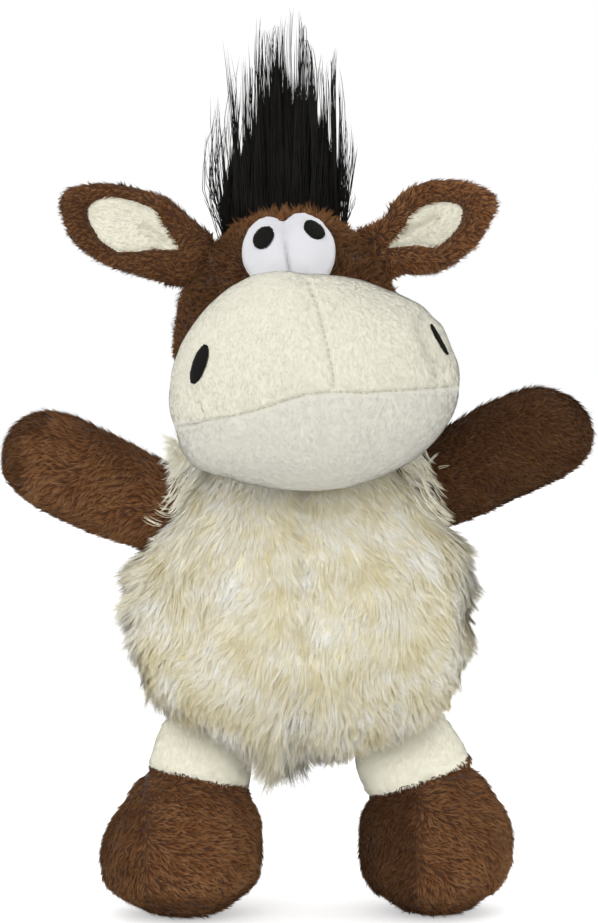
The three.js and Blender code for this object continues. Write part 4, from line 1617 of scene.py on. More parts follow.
    def grow_fur(self, piece: bpy.types.Object) -> None:
        """Grows the fur, which is shorter where a limb lies on it.

        At the sides it stands out in tufts, and below it hangs down.

        Args:
            piece: The body's cloth.
        """
        roots = Roots.on(piece, FUR.per_mm2, np.random.default_rng(5))
        covers = Reach(("body_front_left", "body_front_right", "body_back"))
        limbs = Reach(("arm_left", "arm_right", "head_cover"))
        legs = Reach(("cuff_left", "cuff_right"))
        keep = covers.distance(roots.places) < self.cloth_inset_mm + 2.5
        near_limbs = limbs.distance(roots.places)
        near_legs = legs.distance(roots.places)
        keep &= (near_limbs > self.clear_of_limbs_mm) & (near_legs > self.clear_of_legs_mm)
        roots, near_legs, near_limbs = roots.only(keep), near_legs[keep], near_limbs[keep]
        comb = self.comb(roots)
        seam = self.form.seam_distance(roots.places)
        share = (1 - 0.3 * bell(seam, 3)) * (1 + 0.15 * waves(roots.places, 22, 9))
        share *= np.interp(near_legs, *self.short_by_legs) * np.interp(near_limbs, *self.short_by_limbs)
        ends = roots.places + flattened(comb, roots.normals) * (FUR.length_mm * MM * share)[:, None]
        share *= np.interp(legs.distance(ends), *self.short_ends)
        tuft = self.tufted(roots)
        outward_x = np.sign(roots.places[:, 0])
        side_on = np.stack((outward_x, np.zeros(len(tuft)), np.full(len(tuft), -0.25)), axis=1)
        turned_out = self.tufts_turn * tuft
        comb = unit(unit(comb) * (1 - turned_out)[:, None] + side_on * turned_out[:, None])
        share *= 1 + self.tufts_longer * tuft
        flat = seen(roots.places)
        # Painted light: lighter towards the top, under the chin's shade, and towards the sides.
        painted_shading = self.top_painted_light * ramp(flat[:, 1], 125, 35)
        painted_shading += self.side_painted_light * ramp(np.abs(flat[:, 0]), 38, 20)
        sides = ramp(np.abs(roots.places[:, 0] - self.middle_x) / MM, 44, 16)
        under = np.clip(-roots.normals[:, 2], 0, 1) ** 1.5
        lively = (0.5 + 0.5 * waves(roots.places, 14, 10)).clip(0, 1.5)
        stand = 1 + self.sides_stand * sides * lively + self.under_stands * under + self.tufts_stand * tuft
        hanging = bell(flat[:, 0] - self.hanging_at_mm, self.hanging_width_mm) * under
        share *= 1 + self.hanging_longer * hanging
        front, left = roots.places[:, 1] < self.side_seam_y, roots.places[:, 0] < self.middle_x
        quarters = {
            "body_fur_front_left": front & left,
            "body_fur_front_right": front & ~left,
            "body_fur_back_left": ~front & left,
            "body_fur_back_right": ~front & ~left,
        }
        for seed, (name, part) in enumerate(quarters.items()):
            fur = FUR.grow(
                name,
                roots.only(part),
                comb[part],
                20 + seed,
                self.wardrobe.fur,
                share[part],
                stand[part],
                painted_shading[part],
            )
            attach(fur, "body")


@dataclass
class Head:
    """The head: brown plush skull, cream muzzle, eyes, nostrils and mane."""

    wardrobe: Wardrobe
    eye_outline: Line = (
        (-21.5, 244.2), (-20.2, 249.2), (-17.9, 252.8), (-14.8, 255.3), (-11.2, 256.3), (-8.3, 256.1),
        (-6.2, 255.1), (-4.2, 256.3), (-0.6, 257), (3.9, 256.5), (7.6, 254.6), (10.7, 251.2),
        (12.8, 247), (13.1, 242.8), (12.4, 239.5), (10.8, 236), (8, 232.5), (-5, 231), (-15, 231.5),
        (-18.1, 235.2), (-20.7, 239.4),
    )
    eye_crease: Line = ((-6.2, 256), (-5.7, 250), (-4.8, 243), (-3.6, 235))
    mouth: Line = (
        (-60, 181), (-44.7, 181.2), (-40.3, 182.1), (-32.6, 183.4), (-23.8, 183.9), (-15.4, 185.9),
        (-6.6, 188.9), (2.6, 191.8), (12.1, 192.5), (23.4, 192.2), (38.4, 193.2), (51.2, 194),
        (58.6, 194.3), (70, 194.4),
    )
    nose_seam: Line = (
        (2.6, 232.8), (6.2, 224), (8.4, 216.3), (10.6, 206.8), (12.1, 199.1), (12.4, 192.9),
    )
    brow_raised: Table = (
        (-47, -43, -39, -32, -24, -16, -5, 0, 11, 22, 32, 50, 58),
        (0.8, 2.2, 4.4, 5.8, 5.8, 5.2, 2.6, 1.4, -0.5, -1.4, -2.6, -2.3, 0),
    )
    jaw_lowered: Table = (
        (-48, -44, -40, -35, -30, -23, -8, 28, 44, 56),
        (1, 3.5, 5, 5.2, 3.6, 1.6, 0.8, 0.5, 0.5, 0),
    )
    cheek_fold: Line = ((-35.1, 189.6), (-33.3, 186.0))
    cheek_dent: Line = ((46.0, 217.0), (49.5, 208.5), (53.0, 200.0))
    ovals: dict[str, tuple[float, float, float, float, float]] = field(
        default_factory=lambda: {
            "pupil_left": (-13.3, 248.8, 4.3, 3.9, 35.0),
            "pupil_right": (5.3, 251.9, 4.2, 3.2, -52.0),
            "nostril_left": (-36.7, 202.6, 7.3, 2.9, 19.0),
            "nostril_right": (50.8, 211.6, 6.2, 0.85, -29.0),
        }
    )
    skull_fuller: Table = ((196, 206, 226, 238), (0.0, 2.4, 2.4, 0.0))
    muzzle_radii_mm: tuple[float, float, float] = (51, 36, 38)
    plush_reach_mm: float = 3.4
    clear_of_body_mm: float = 1.5
    clear_of_sewn_mm: float = 1.2
    lowest_plush_z: float = 0.172
    # Painted shade and light on the skull's plush: darker below the crown, a little lighter at the far left
    # and towards the right.
    painted_shading_up: Table = ((215, 245, 256), (-1.15, -1.05, 0.0))
    painted_shading_across: Table = ((-44, -34, 10, 30), (0.35, 0, 0.1, 0.15))
    muzzle_pile_back_y: float = 0.012
    bare_seam_mm: float = 0.3
    whorl: tuple[float, float, float] = (0.0, -0.03, 0.235)
    muzzle_wider: Table = ((-45, 0, 60), (-2.4, 0.0, 0.6))
    mane_hairs: int = 5600
    mane_tufts: int = 230
    mane_middle_mm: float = -6.0
    mane_half_width_mm: float = 21.2
    mane_y_mm: float = 25.0
    mane_half_depth_mm: float = 10.5
    mane_foot_mm: float = 254.0
    mane_reach: Table = (
        (-28, -24, -22, -20, -17, -14.6, -12.4, -9.9, -8, -5.9, -3.7, -0.7, 5.5, 7, 9.2, 12.5, 15, 17),
        (16, 25, 28, 32, 36, 42, 49, 54, 61, 57, 53, 50, 49, 43, 38, 31, 22, 14),
    )
    mane_locks: Table = (
        (-26.4, -32, 276, -30.2, 303, 1.5, 20), (-25, -30.4, 274, -27, 298, 2.2, 22),
        (-25.6, -29, 280, -31.6, 303.5, 0.9, 8), (-23, -24.5, 296, -28.8, 328, 0.8, 30),
        (-22.6, -24, 290, -21.5, 313, 1.3, 18), (-20, -20.2, 300, -20.8, 322, 0.9, 16),
        (-18, -17.6, 301, -18.2, 312, 1.2, 22), (-15, -15, 306, -15, 331.5, 0.8, 22),
        (-12.6, -13.2, 306, -14, 325, 1.2, 14), (-10.6, -11.8, 310, -13.4, 325, 1, 14),
        (-8.6, -8.4, 314, -8, 325.5, 1.3, 30), (-7, -6.6, 314, -6.8, 334, 0.6, 9),
        (-4.6, -5, 315, -4, 333.5, 0.7, 8), (-1.4, -0.8, 314, -1.8, 334.4, 0.8, 26),
        (1, 1.2, 314, 1.8, 326, 0.8, 14), (3.2, 2.8, 310, 1.2, 319.5, 1.2, 16),
        (4.8, 4.6, 308, 3, 317.5, 1.2, 16), (7.2, 6.4, 306, 12.8, 330.5, 0.25, 3),
        (9.6, 9.4, 300, 8.8, 311, 1, 14), (12, 11.8, 302, 11.2, 314, 0.8, 16),
        (13.4, 12.4, 302, 13.5, 320, 0.7, 24), (14.2, 14.6, 296, 13.8, 314, 0.8, 12),
        (15.2, 16.4, 281, 16.4, 297.5, 1.1, 16), (15.6, 18.2, 277, 17.6, 292.5, 1, 10),
        (16, 19, 275.5, 21.6, 288.5, 0.6, 8), (15.2, 18.4, 262, 19.4, 268, 1.2, 10),
        (-26.8, -31.5, 262, -33.4, 268, 1.2, 9),
    )
    skull: SewnForm = field(init=False)
    muzzle: SewnForm = field(init=False)

    def build(self) -> None:
        """Makes the skull, the muzzle, the eyes, the stitching and the mane."""
        self.build_skull()
        self.build_muzzle()
        eyes = self.build_eyes()
        for node, oval in self.ovals.items():
            self.stitch(node, eyes if node.startswith("pupil") else self.muzzle.piece, oval)
        self.build_mane()

    def build_skull(self) -> None:
        """Makes the brown plush skull."""
        self.skull = SewnForm(
            "head_cloth",
            ("head_cover", "head_filling"),
            "head",
            "brown_plush",
            voxel_mm=2.6,
            inset_mm=1.2,
            swell_mm=1.2,
        )
        piece = self.skull.build()
        self.shape_skull(piece)
        self.skull.dress([self.wardrobe.brown_ground])
        self.grow_plush(piece)
        self.skull.finish()

    def shape_skull(self, piece: bpy.types.Object) -> None:
        """Fills the skull out at its left side.

        Args:
            piece: The skull's cloth.
        """
        places, normals = coordinates(piece.data), outward(piece.data)
        fuller = np.interp(places[:, 2] / MM, *self.skull_fuller) * np.clip(-normals[:, 0], 0, 1) ** 2
        move_to(piece.data, places + normals * (fuller * MM)[:, None])

    def plush_roots(self, piece: bpy.types.Object) -> Roots:
        """Where the skull's plush stands free of the pieces sewn to it.

        Args:
            piece: The skull's cloth.

        Returns:
            The roots.
        """
        roots = Roots.on(piece, HEAD_PLUSH.per_mm2, np.random.default_rng(31))
        covers = Reach(("head_cover",)).distance(roots.places)
        muzzle = Reach(("muzzle_left", "muzzle_right", "muzzle_jaw")).distance(roots.places)
        body = Reach(("body_front_left", "body_front_right", "body_back")).distance(roots.places)
        eyes = Reach(("eye_whites",)).distance(roots.places)
        middle = self.muzzle_middle()
        radii = np.array(self.muzzle_radii_mm) * MM
        inside = np.linalg.norm((roots.places - middle) / radii, axis=1) < 0.97
        keep = (covers < self.plush_reach_mm) & (body > self.clear_of_body_mm) & ~inside
        keep &= (muzzle > self.clear_of_sewn_mm) & (eyes > self.clear_of_sewn_mm)
        keep &= roots.places[:, 2] > self.lowest_plush_z
        return roots.only(keep)

    def grow_plush(self, piece: bpy.types.Object) -> None:
        """Grows the skull's plush away from its whorl, taller on the crown.

        Args:
            piece: The skull's cloth.
        """
        roots = self.plush_roots(piece)
        away = roots.places - np.array(self.whorl)
        comb = away * np.array((1.0, 1.0, 0.4)) + np.array((0, 0.02, 0.006))
        comb = roots.combed(comb, 0.5, 30, 33)
        flat = seen(roots.places)
        # Painted shade below the crown, and painted light at the sides.
        painted_shading = np.interp(flat[:, 1], *self.painted_shading_up)
        painted_shading += np.interp(flat[:, 0], *self.painted_shading_across)
        crown = ramp(flat[:, 1], 250, 8) * (roots.places[:, 1] < 0.026)
        tall, stand = 1 + 0.35 * crown, 1 + 1.2 * crown
        pile = HEAD_PLUSH.grow("head_pile", roots, comb, 34, self.wardrobe.brown, tall, stand, painted_shading)
        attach(pile, "head")

    def below_mouth(self, places: Array) -> Array:
        """Whether points of the muzzle lie below its mouth seam.

        Args:
            places: The points, in metres.

        Returns:
            True for each point of the jaw.
        """
        flat = seen(places)
        line = np.array(self.mouth)
        return flat[:, 1] < np.interp(flat[:, 0], line[:, 0], line[:, 1])

    def muzzle_middle(self) -> Array:
        """The middle of the muzzle's panels.

        Returns:
            The place, in metres.
        """
        corners = [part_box(node) for node in ("muzzle_left", "muzzle_right", "muzzle_jaw")]
        low = np.min([corner[0] for corner in corners], axis=0)
        high = np.max([corner[1] for corner in corners], axis=0)
        return (low + high) / 2

    def build_muzzle(self) -> None:
        """Makes the velour muzzle with its mouth and centre seams."""
        upper = ("muzzle_left", "muzzle_right")
        self.muzzle = SewnForm(
            "muzzle_cloth",
            (*upper, "muzzle_jaw"),
            "head",
            "cream_velour",
            voxel_mm=2.6,
            inset_mm=0.1,
            swell_mm=1.0,
            fill=0.9,
            drawn=(self.mouth, self.nose_seam, self.cheek_fold),
            seam_depth_mm=1.1,
            seam_width_mm=0.8,
            pucker_mm=0.2,
            hull=True,
            levels=2,
        )
        self.shape_muzzle(self.muzzle.build().data)
        self.grow_muzzle_pile()
        self.sew_muzzle()
        self.muzzle.finish()

    def shape_muzzle(self, mesh: bpy.types.Mesh) -> None:
        """Gives the muzzle its brow, its hanging jaw and the dent in its cheek.

        Args:
            mesh: The muzzle's cloth.
        """
        places = coordinates(mesh)
        flat = seen(places)
        wider = np.interp(flat[:, 0], *self.muzzle_wider)
        low = np.clip((196 - flat[:, 1]) / 26, 0, 1)
        high = ramp(flat[:, 1], 192, 42) ** 1.5
        cheek = 2.0 * bell(flat[:, 1] - 210, 9) * ramp(flat[:, 0], 25, 30)
        places[:, 0] += (wider * (1 + 1.3 * low) - cheek) * MM
        places[:, 2] += high * np.interp(flat[:, 0], *self.brow_raised) * MM
        places[:, 2] -= low * np.interp(flat[:, 0], *self.jaw_lowered) * MM
        dent = 1.9 * bell(near_line(places, self.cheek_dent), 4)
        move_to(mesh, places - outward(mesh) * (dent * MM)[:, None])
        for material in (self.wardrobe.muzzle_ground, self.wardrobe.jaw_ground):
            mesh.materials.append(material)
        on_jaw = self.below_mouth(face_centres(mesh))
        mesh.polygons.foreach_set("material_index", on_jaw.astype(np.int32))

    def grow_muzzle_pile(self) -> None:
        """Grows the muzzle's velour, above and below its mouth."""
        roots = Roots.on(self.muzzle.piece, VELOUR.per_mm2, np.random.default_rng(41))
        in_front = roots.places[:, 1] < self.muzzle_pile_back_y
        roots = roots.only(in_front & (self.muzzle.seam_distance(roots.places) > self.bare_seam_mm))
        down = alike((0.1, 0.0, -1.0), len(roots.places))
        comb = roots.combed(down, 0.3, 25, 43)
        seam = self.muzzle.seam_distance(roots.places)
        flat = seen(roots.places)
        smoother = np.clip(((flat[:, 0] + 45) / 60 + (232 - flat[:, 1]) / 60) / 1.1, 0.45, 1)
        share = (1 - 0.5 * bell(seam, 1.2)) * smoother
        which = self.below_mouth(roots.places)
        upper = ("muzzle_pile_upper", self.wardrobe.muzzle_pile)
        jaw = ("muzzle_pile_jaw", self.wardrobe.jaw_pile)
        for part, (name, finish) in enumerate((upper, jaw)):
            here = which == part
            # Painted shade: the upper velour is darker towards the left, where the light from the left falls
            # most.
            painted_shading = -0.9 * np.clip((5 - flat[here, 0]) / 40, 0, 1) if part == 0 else 0.0
            pile = VELOUR.grow(name, roots.only(here), comb[here], 44 + part, finish, share[here], painted_shading=painted_shading)
            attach(pile, "head")

    def sew_muzzle(self) -> None:
        """Lays the thread that shows in the muzzle's seams, stitch by stitch."""
        tree = BVHTree.FromObject(self.muzzle.piece, bpy.context.evaluated_depsgraph_get())
        rng = np.random.default_rng(48)
        starts, ends, facing = [], [], []
        for line in (self.mouth[2:-2], self.nose_seam):
            corners = np.array(line)
            along = np.concatenate(((0,), np.cumsum(np.linalg.norm(np.diff(corners, axis=0), axis=1))))
            at = 0.0
            while at < along[-1] - 2.2:
                pair = []
                for s in (at, at + rng.uniform(1.3, 1.9)):
                    x, z = (float(np.interp(s, along, corners[:, axis])) for axis in (0, 1))
                    eye, way = sight(x, z)
                    found, normal, _, _ = tree.ray_cast(eye, way)
                    pair.append(np.array(found + normal * (0.25 * MM)))
                starts.append(pair[0])
                ends.append(pair[1])
                facing.append(normal)
                at += rng.uniform(2.0, 2.5)
        starts, ends = np.array(starts), np.array(ends)
        paths = np.stack([starts * (1 - s) + ends * s for s in (0, 0.2, 0.8, 1.0)])
        paths[0] -= np.array(facing) * 0.3 * MM
        paths[3] -= np.array(facing) * 0.3 * MM
        piece = FibreShape(3, sides=5).copies(
            "muzzle_seam_thread",
            paths,
            np.full(len(starts), 0.15 * MM),
            [0.8, 1, 1, 0.0],
            np.array(facing),
            rng.random((len(starts), 2)),
            flat=1.0,
        )
        piece.data.materials.append(self.wardrobe.seam_thread)
        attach(piece, "head")

    def build_eyes(self) -> bpy.types.Object:
        """Makes the padded whites of the eyes.

        Returns:
            The piece.
        """
        whites = LeafForm(
            "eye_cloth",
            ("eye_whites",),
            "head",
            "white_cloth",
            voxel_mm=1.2,
            swell_mm=0.5,
            evened=4,
            outline=self.eye_outline,
            thickness_mm=5.6,
            cup_mm=-3.2,
            cup_reach_mm=5.0,
            unevenness_mm=0.15,
        )
        piece = whites.build()
        places = coordinates(piece.data)
        crease = near_line(places, self.eye_crease)
        low = np.clip((254 - seen(places)[:, 1]) / 14, 0.2, 1)
        depth = 3.2 * low * bell(crease, 0.45) + 0.9 * bell(crease, 2)
        groove = MM * depth * whites.front()
        move_to(piece.data, places - outward(piece.data) * groove[:, None])
        piece.data.materials.append(self.wardrobe.white)
        whites.finish()
        return piece

    def stitch(
        self, node: str, ground: bpy.types.Object, oval: tuple[float, float, float, float, float]
    ) -> None:
        """Embroiders an oval in satin stitch, thread beside thread.

        Args:
            node: The CAD node that it replaces.
            ground: The cloth that it is sewn on.
            oval: The oval's middle X and Z, its half length and half width in
                millimetres, and the lean of its length from the upright, to
                the right, in degrees, all seen from the front.
        """
        x, z, half_long, half_short, lean = oval
        long = np.array((math.sin(math.radians(lean)), math.cos(math.radians(lean))))
        short = np.array((long[1], -long[0]))
        tree = BVHTree.FromObject(ground, bpy.context.evaluated_depsgraph_get())
        rng = np.random.default_rng(7)
        pitch, stations = 0.32, 6
        rows = np.arange(-half_long + pitch / 2, half_long, pitch)
        paths = np.zeros((stations + 1, len(rows), 3))
        facing = np.zeros((len(rows), 3))
        for row, offset in enumerate(rows):
            reach = half_short * max(0.1, 1 - abs(offset / half_long) ** 2.4) ** 0.5 + rng.normal(0, 0.1)
            for station, s in enumerate(np.linspace(-1, 1, stations + 1)):
                spot = np.array((x, z)) + long * (offset + rng.normal(0, 0.03)) + short * s * reach
                eye, way = sight(*spot)
                found, normal, _, _ = tree.ray_cast(eye, way)
                proud = 0.85 * math.sqrt(max(0, 1 - s * s)) - 0.2
                paths[station, row] = found + normal * (proud * MM)
                facing[row] = normal
        tones = np.stack((rng.random(len(rows)), rng.random(len(rows))), axis=1)
        wide = np.full(len(rows), 0.23 * MM)
        piece = FibreShape(stations, sides=5).copies(
            node + "_stitches", paths, wide, [0.6, 1, 1, 1, 1, 0.9, 0.0], facing, tones, flat=1.0
        )
        piece.data.materials.append(self.wardrobe.thread)
        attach(piece, "head")
        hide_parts(node)

    def mane_mass(self, rng: np.random.Generator, stations: int) -> tuple[Array, Array]:
        """The mane's dense middle, in locks that stand up side by side.

        Args:
            rng: The source of its random numbers.
            stations: How many stations each hair has below its tip.

        Returns:
            The hairs' paths in metres, and their tones.
        """
        count, locks = self.mane_hairs, self.mane_tufts
        across = rng.uniform(-1, 1, count)
        deep = rng.uniform(-1, 1, count) * np.sqrt(1 - across**2 * 0.8)
        heads = rng.uniform(-1, 1, (locks, 2))
        sideways = (across[:, None] - heads[:, 0]) * 2.0
        lock = (sideways**2 + (deep[:, None] - heads[:, 1]) ** 2).argmin(1)
        base = self.mane_middle_mm + self.mane_half_width_mm * across
        reach = np.interp(base, *self.mane_reach) * np.clip(rng.normal(0.97, 0.08, locks), 0.75, 1.14)[lock]
        reach *= 1.06 - 0.3 * rng.random(count) ** 1.5
        lock_side = rng.normal(0, 1.3, locks)[lock] + rng.normal(0, 0.6, count)
        lock_back = rng.normal(0, 1.8, locks)[lock] + rng.normal(0, 1.0, count)
        bow = rng.normal(0, 0.6, locks)[lock] + rng.normal(0, 0.35, count)
        phase = rng.random(count) * 6.3
        points = []
        for s in np.linspace(0, 1, stations + 1):
            h = reach * s
            ripple = 0.25 * np.sin(7 * s + phase) * math.sin(math.pi * s)
            narrower = across * 2.6 * np.clip(h / 60, 0, 1) ** 2
            x = base - narrower + lock_side * s * s + bow * math.sin(2.6 * s) + ripple
            y = self.mane_y_mm + deep * self.mane_half_depth_mm * (1 - 0.4 * (h / 63)) + lock_back * s * s
            points.append(np.stack((x, y, self.mane_foot_mm + h), axis=1))
        paths = np.stack(points) * MM
        leaders = []
        for number in range(locks):
            own = lock == number
            leaders.append(paths[:, own].mean(1) if own.any() else paths[:, 0])
        pull = 0.72 * np.linspace(0, 1, stations + 1)[:, None, None] ** 1.5 * np.array((1.0, 1.0, 0.0))
        paths = paths * (1 - pull) + np.stack(leaders, axis=1)[:, lock] * pull
        return paths, np.stack((rng.random(count), rng.random(locks)[lock]), axis=1)

    def mane_strands(self, rng: np.random.Generator, stations: int) -> tuple[Array, Array]:
        """The mane's loose locks, each where the photograph shows it.

        Args:
            rng: The source of its random numbers.
            stations: How many stations each hair has below its tip.

        Returns:
            The hairs' paths in metres, and their tones.
        """
        strands, tones = [], []
        steps = np.linspace(0, 1, stations + 1)[:, None]
        for foot, middle_x, middle_z, tip_x, tip_z, spread, hairs in self.mane_locks:
            spots = ((foot, self.mane_foot_mm), (middle_x, middle_z), (tip_x, tip_z))
            marks = [at_depth(x, z, 0.024) for x, z in spots]
            deep, own = rng.normal(0, 4.0) * MM, rng.random()
            for _ in range(hairs):
                near = []
                for mark, share in zip(marks, (0.8, 1.1, 0.75)):
                    near.append(mark + np.array((rng.normal(0, spread * share), 0, 0)) * MM)
                t = steps * (1 - 0.55 * rng.random() ** 0.7)
                path = curved(*near, t)
                path[:, 1] += deep + rng.normal(0, 1.5) * MM
                sway = 0.4 * spread * np.sin(9 * t + rng.random() * 6.3) * np.sin(math.pi * t)
                path[:, 0] += sway[:, 0] * MM
                strands.append(path)
                tones.append((rng.random(), own))
        return np.array(strands).transpose(1, 0, 2), np.array(tones)

    def build_mane(self) -> None:
        """Makes the mane: long straight hair that comes together in points."""
        rng = np.random.default_rng(71)
        stations = 5
        tree = BVHTree.FromObject(self.skull.piece, bpy.context.evaluated_depsgraph_get())
        mass, mass_tones = self.mane_mass(rng, stations)
        loose, loose_tones = self.mane_strands(rng, stations)
        paths = np.concatenate((mass, loose), axis=1)
        for index in range(paths.shape[1]):
            spot = paths[0, index]
            hit = tree.ray_cast(Vector((spot[0], spot[1], 0.3)), Vector((0, 0, -1)), 0.12)
            if hit[0] is not None:
                drop = hit[0].z - 1.0 * MM - spot[2]
                paths[:, index, 2] += drop * (1 - np.linspace(0, 1, stations + 1)) ** 2
        piece = FibreShape(stations).copies(
            "mane_hair",
            paths,
            np.where(np.arange(paths.shape[1]) < mass.shape[1], 0.14, 0.135) * MM,
            [1, 1, 1, 0.92, 0.75, 0.0],
            alike((0.0, -1.0, 0.0), paths.shape[1]),
            np.concatenate((mass_tones, loose_tones)),
        )
        piece.data.materials.append(self.wardrobe.hair)
        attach(piece, "head")
        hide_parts("mane")


@dataclass
class Ear:
    """A flat padded ear of brown plush with a cream lining let into it."""

    wardrobe: Wardrobe
    side: Side
    root_x: float = 0.028
    root_y: float = 0.02
    root_z: float = 0.244
    faces_front: float = 0.2

    def outlines(self) -> tuple[Line, Line, tuple[Line, ...]]:
        """The ear's outline, its lining's and its folds, in (X, Z) mm.

        Returns:
            The outline, the lining and the folds, seen from the front.
        """
        if self.side is Side.LEFT:
            return (
                (
                    (-87.2, 261.8), (-85.6, 265.6), (-83.3, 267.4), (-78.6, 268.1), (-72.8, 268.9),
                    (-67.4, 268.5), (-62, 267.4), (-55.1, 265.6), (-48.2, 263.1), (-43.9, 259.5),
                    (-38.8, 254.7), (-33.3, 250.7), (-31.5, 247), (-33.3, 240.1), (-38.1, 232.8),
                    (-44.5, 231.4), (-52.6, 233.6), (-58.8, 235.1), (-64.6, 236.7), (-70.8, 239.3),
                    (-76.6, 242.7), (-82.7, 247.9), (-85.4, 253.6), (-87.2, 258.3),
                ),
                (
                    (-77.6, 258.4), (-76.5, 261), (-74.3, 262.6), (-71, 263.9), (-66.6, 263.9),
                    (-61.1, 262.4), (-56.4, 260.6), (-52.7, 258.8), (-50.5, 255.1), (-47.9, 251.1),
                    (-44.3, 245.2), (-46.5, 244.7), (-53.4, 244.7), (-60, 243.8), (-64.8, 243.6),
                    (-68.4, 244.9), (-72.8, 248.1), (-76.5, 254),
                ),
                (((-48.3, 246.7), (-52.0, 249.6), (-56.4, 252.5)),),
            )
        return (
            (
                (19, 248.1), (22, 252.2), (26, 253.4), (31.8, 257), (33.8, 261.2), (37.6, 265.2),
                (42.8, 268.1), (49.5, 269.8), (56.6, 269.8), (62.6, 268.6), (66.7, 266.8),
                (69.5, 265.7), (71.1, 262.9), (70.7, 257.7), (67.8, 252.8), (65.5, 248.6),
                (62.3, 244.6), (58.6, 241.8), (55.1, 239), (49.1, 236.6), (42.5, 235.5), (38.4, 235.7),
                (34.5, 234.7), (28.5, 232), (21.2, 239.4),
            ),
            (
                (32.1, 245.7), (36.2, 250.5), (38.4, 253.5), (40.3, 257.3), (45.2, 260.6),
                (47.9, 261.7), (51.9, 262.1), (56.8, 261.4), (59.1, 259.5), (58.8, 255.4), (57.1, 252),
                (54.2, 248.7), (50.8, 245.9), (47.4, 245.4), (42.2, 246.1), (36.2, 245.6),
            ),
            (
                ((35.9, 250.0), (40.3, 251.6), (44.3, 253.2), (47.9, 255.5)),
                ((29.7, 243.6), (32.3, 249.7), (35.6, 255.0), (38.5, 259.0)),
                ((26.1, 243.8), (29.0, 248.1), (30.8, 253.3), (32.7, 259.1)),
            ),
        )

    def build(self) -> None:
        """Makes the ear's cloth and both its piles."""
        side = self.side.value
        outline, lining, folds = self.outlines()
        form = LeafForm(
            f"ear_cloth_{side}",
            (f"ear_{side}", f"ear_lining_{side}"),
            f"{side}_ear",
            "brown_plush",
            voxel_mm=1.3,
            swell_mm=0.5,
            fill=0.3,
            evened=5,
            thickness_mm=4.0,
            outline=outline,
            lining=lining,
            folds=folds,
        )
        form.build()
        edge = rounded(lining)
        self.dress(form, edge)
        self.grow_piles(form, edge)
        form.finish()

    def dress(self, form: LeafForm, edge: Sequence[Spot]) -> None:
        """Dresses the ear's cloth, with its lining on the front.

        Args:
            form: The ear's form.
            edge: The lining's rounded outline.
        """
        mesh = form.piece.data
        # The lining's ground is the velour ground painted lighter.
        for material in (self.wardrobe.brown_ground, self.wardrobe.velour_ground_painted_lighter):
            mesh.materials.append(material)
        normal = Vector(form.plane()[1])
        for polygon in mesh.polygons:
            faces_front = polygon.normal @ normal > self.faces_front
            if faces_front and within(np.array(polygon.center)[None], edge)[0]:
                polygon.material_index = 1

    def grow_piles(self, form: LeafForm, edge: Sequence[Spot]) -> None:
        """Grows the brown plush and the lining's velour, out from the root.

        Args:
            form: The ear's form.
            edge: The lining's rounded outline.
        """
        side = self.side.value
        roots = Roots.on(form.piece, PLUSH.per_mm2, np.random.default_rng(50 + self.side.sign))
        cream = within(roots.places, edge) & (roots.normals @ form.plane()[1] > self.faces_front)
        root = np.array((self.side.sign * self.root_x, self.root_y, self.root_z))
        comb = unit(roots.places - root) + np.array((0, 0, -0.25))
        comb = roots.combed(comb, 0.5, 18, 53)
        # Painted shade on the left ear's plush, and painted light on the right ear's.
        pile = PLUSH.grow(
            f"ear_pile_{side}",
            roots.only(~cream),
            comb[~cream],
            54,
            self.wardrobe.brown,
            share=0.75,
            painted_shading=-0.25 if self.side is Side.LEFT else 0.7,
        )
        nap = VELOUR.grow(
            f"ear_lining_pile_{side}", roots.only(cream), comb[cream], 55, self.wardrobe.muzzle_pile
        )
        for grown, slot in ((pile, "brown_plush"), (nap, "cream_velour")):
            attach(grown, f"{side}_ear")


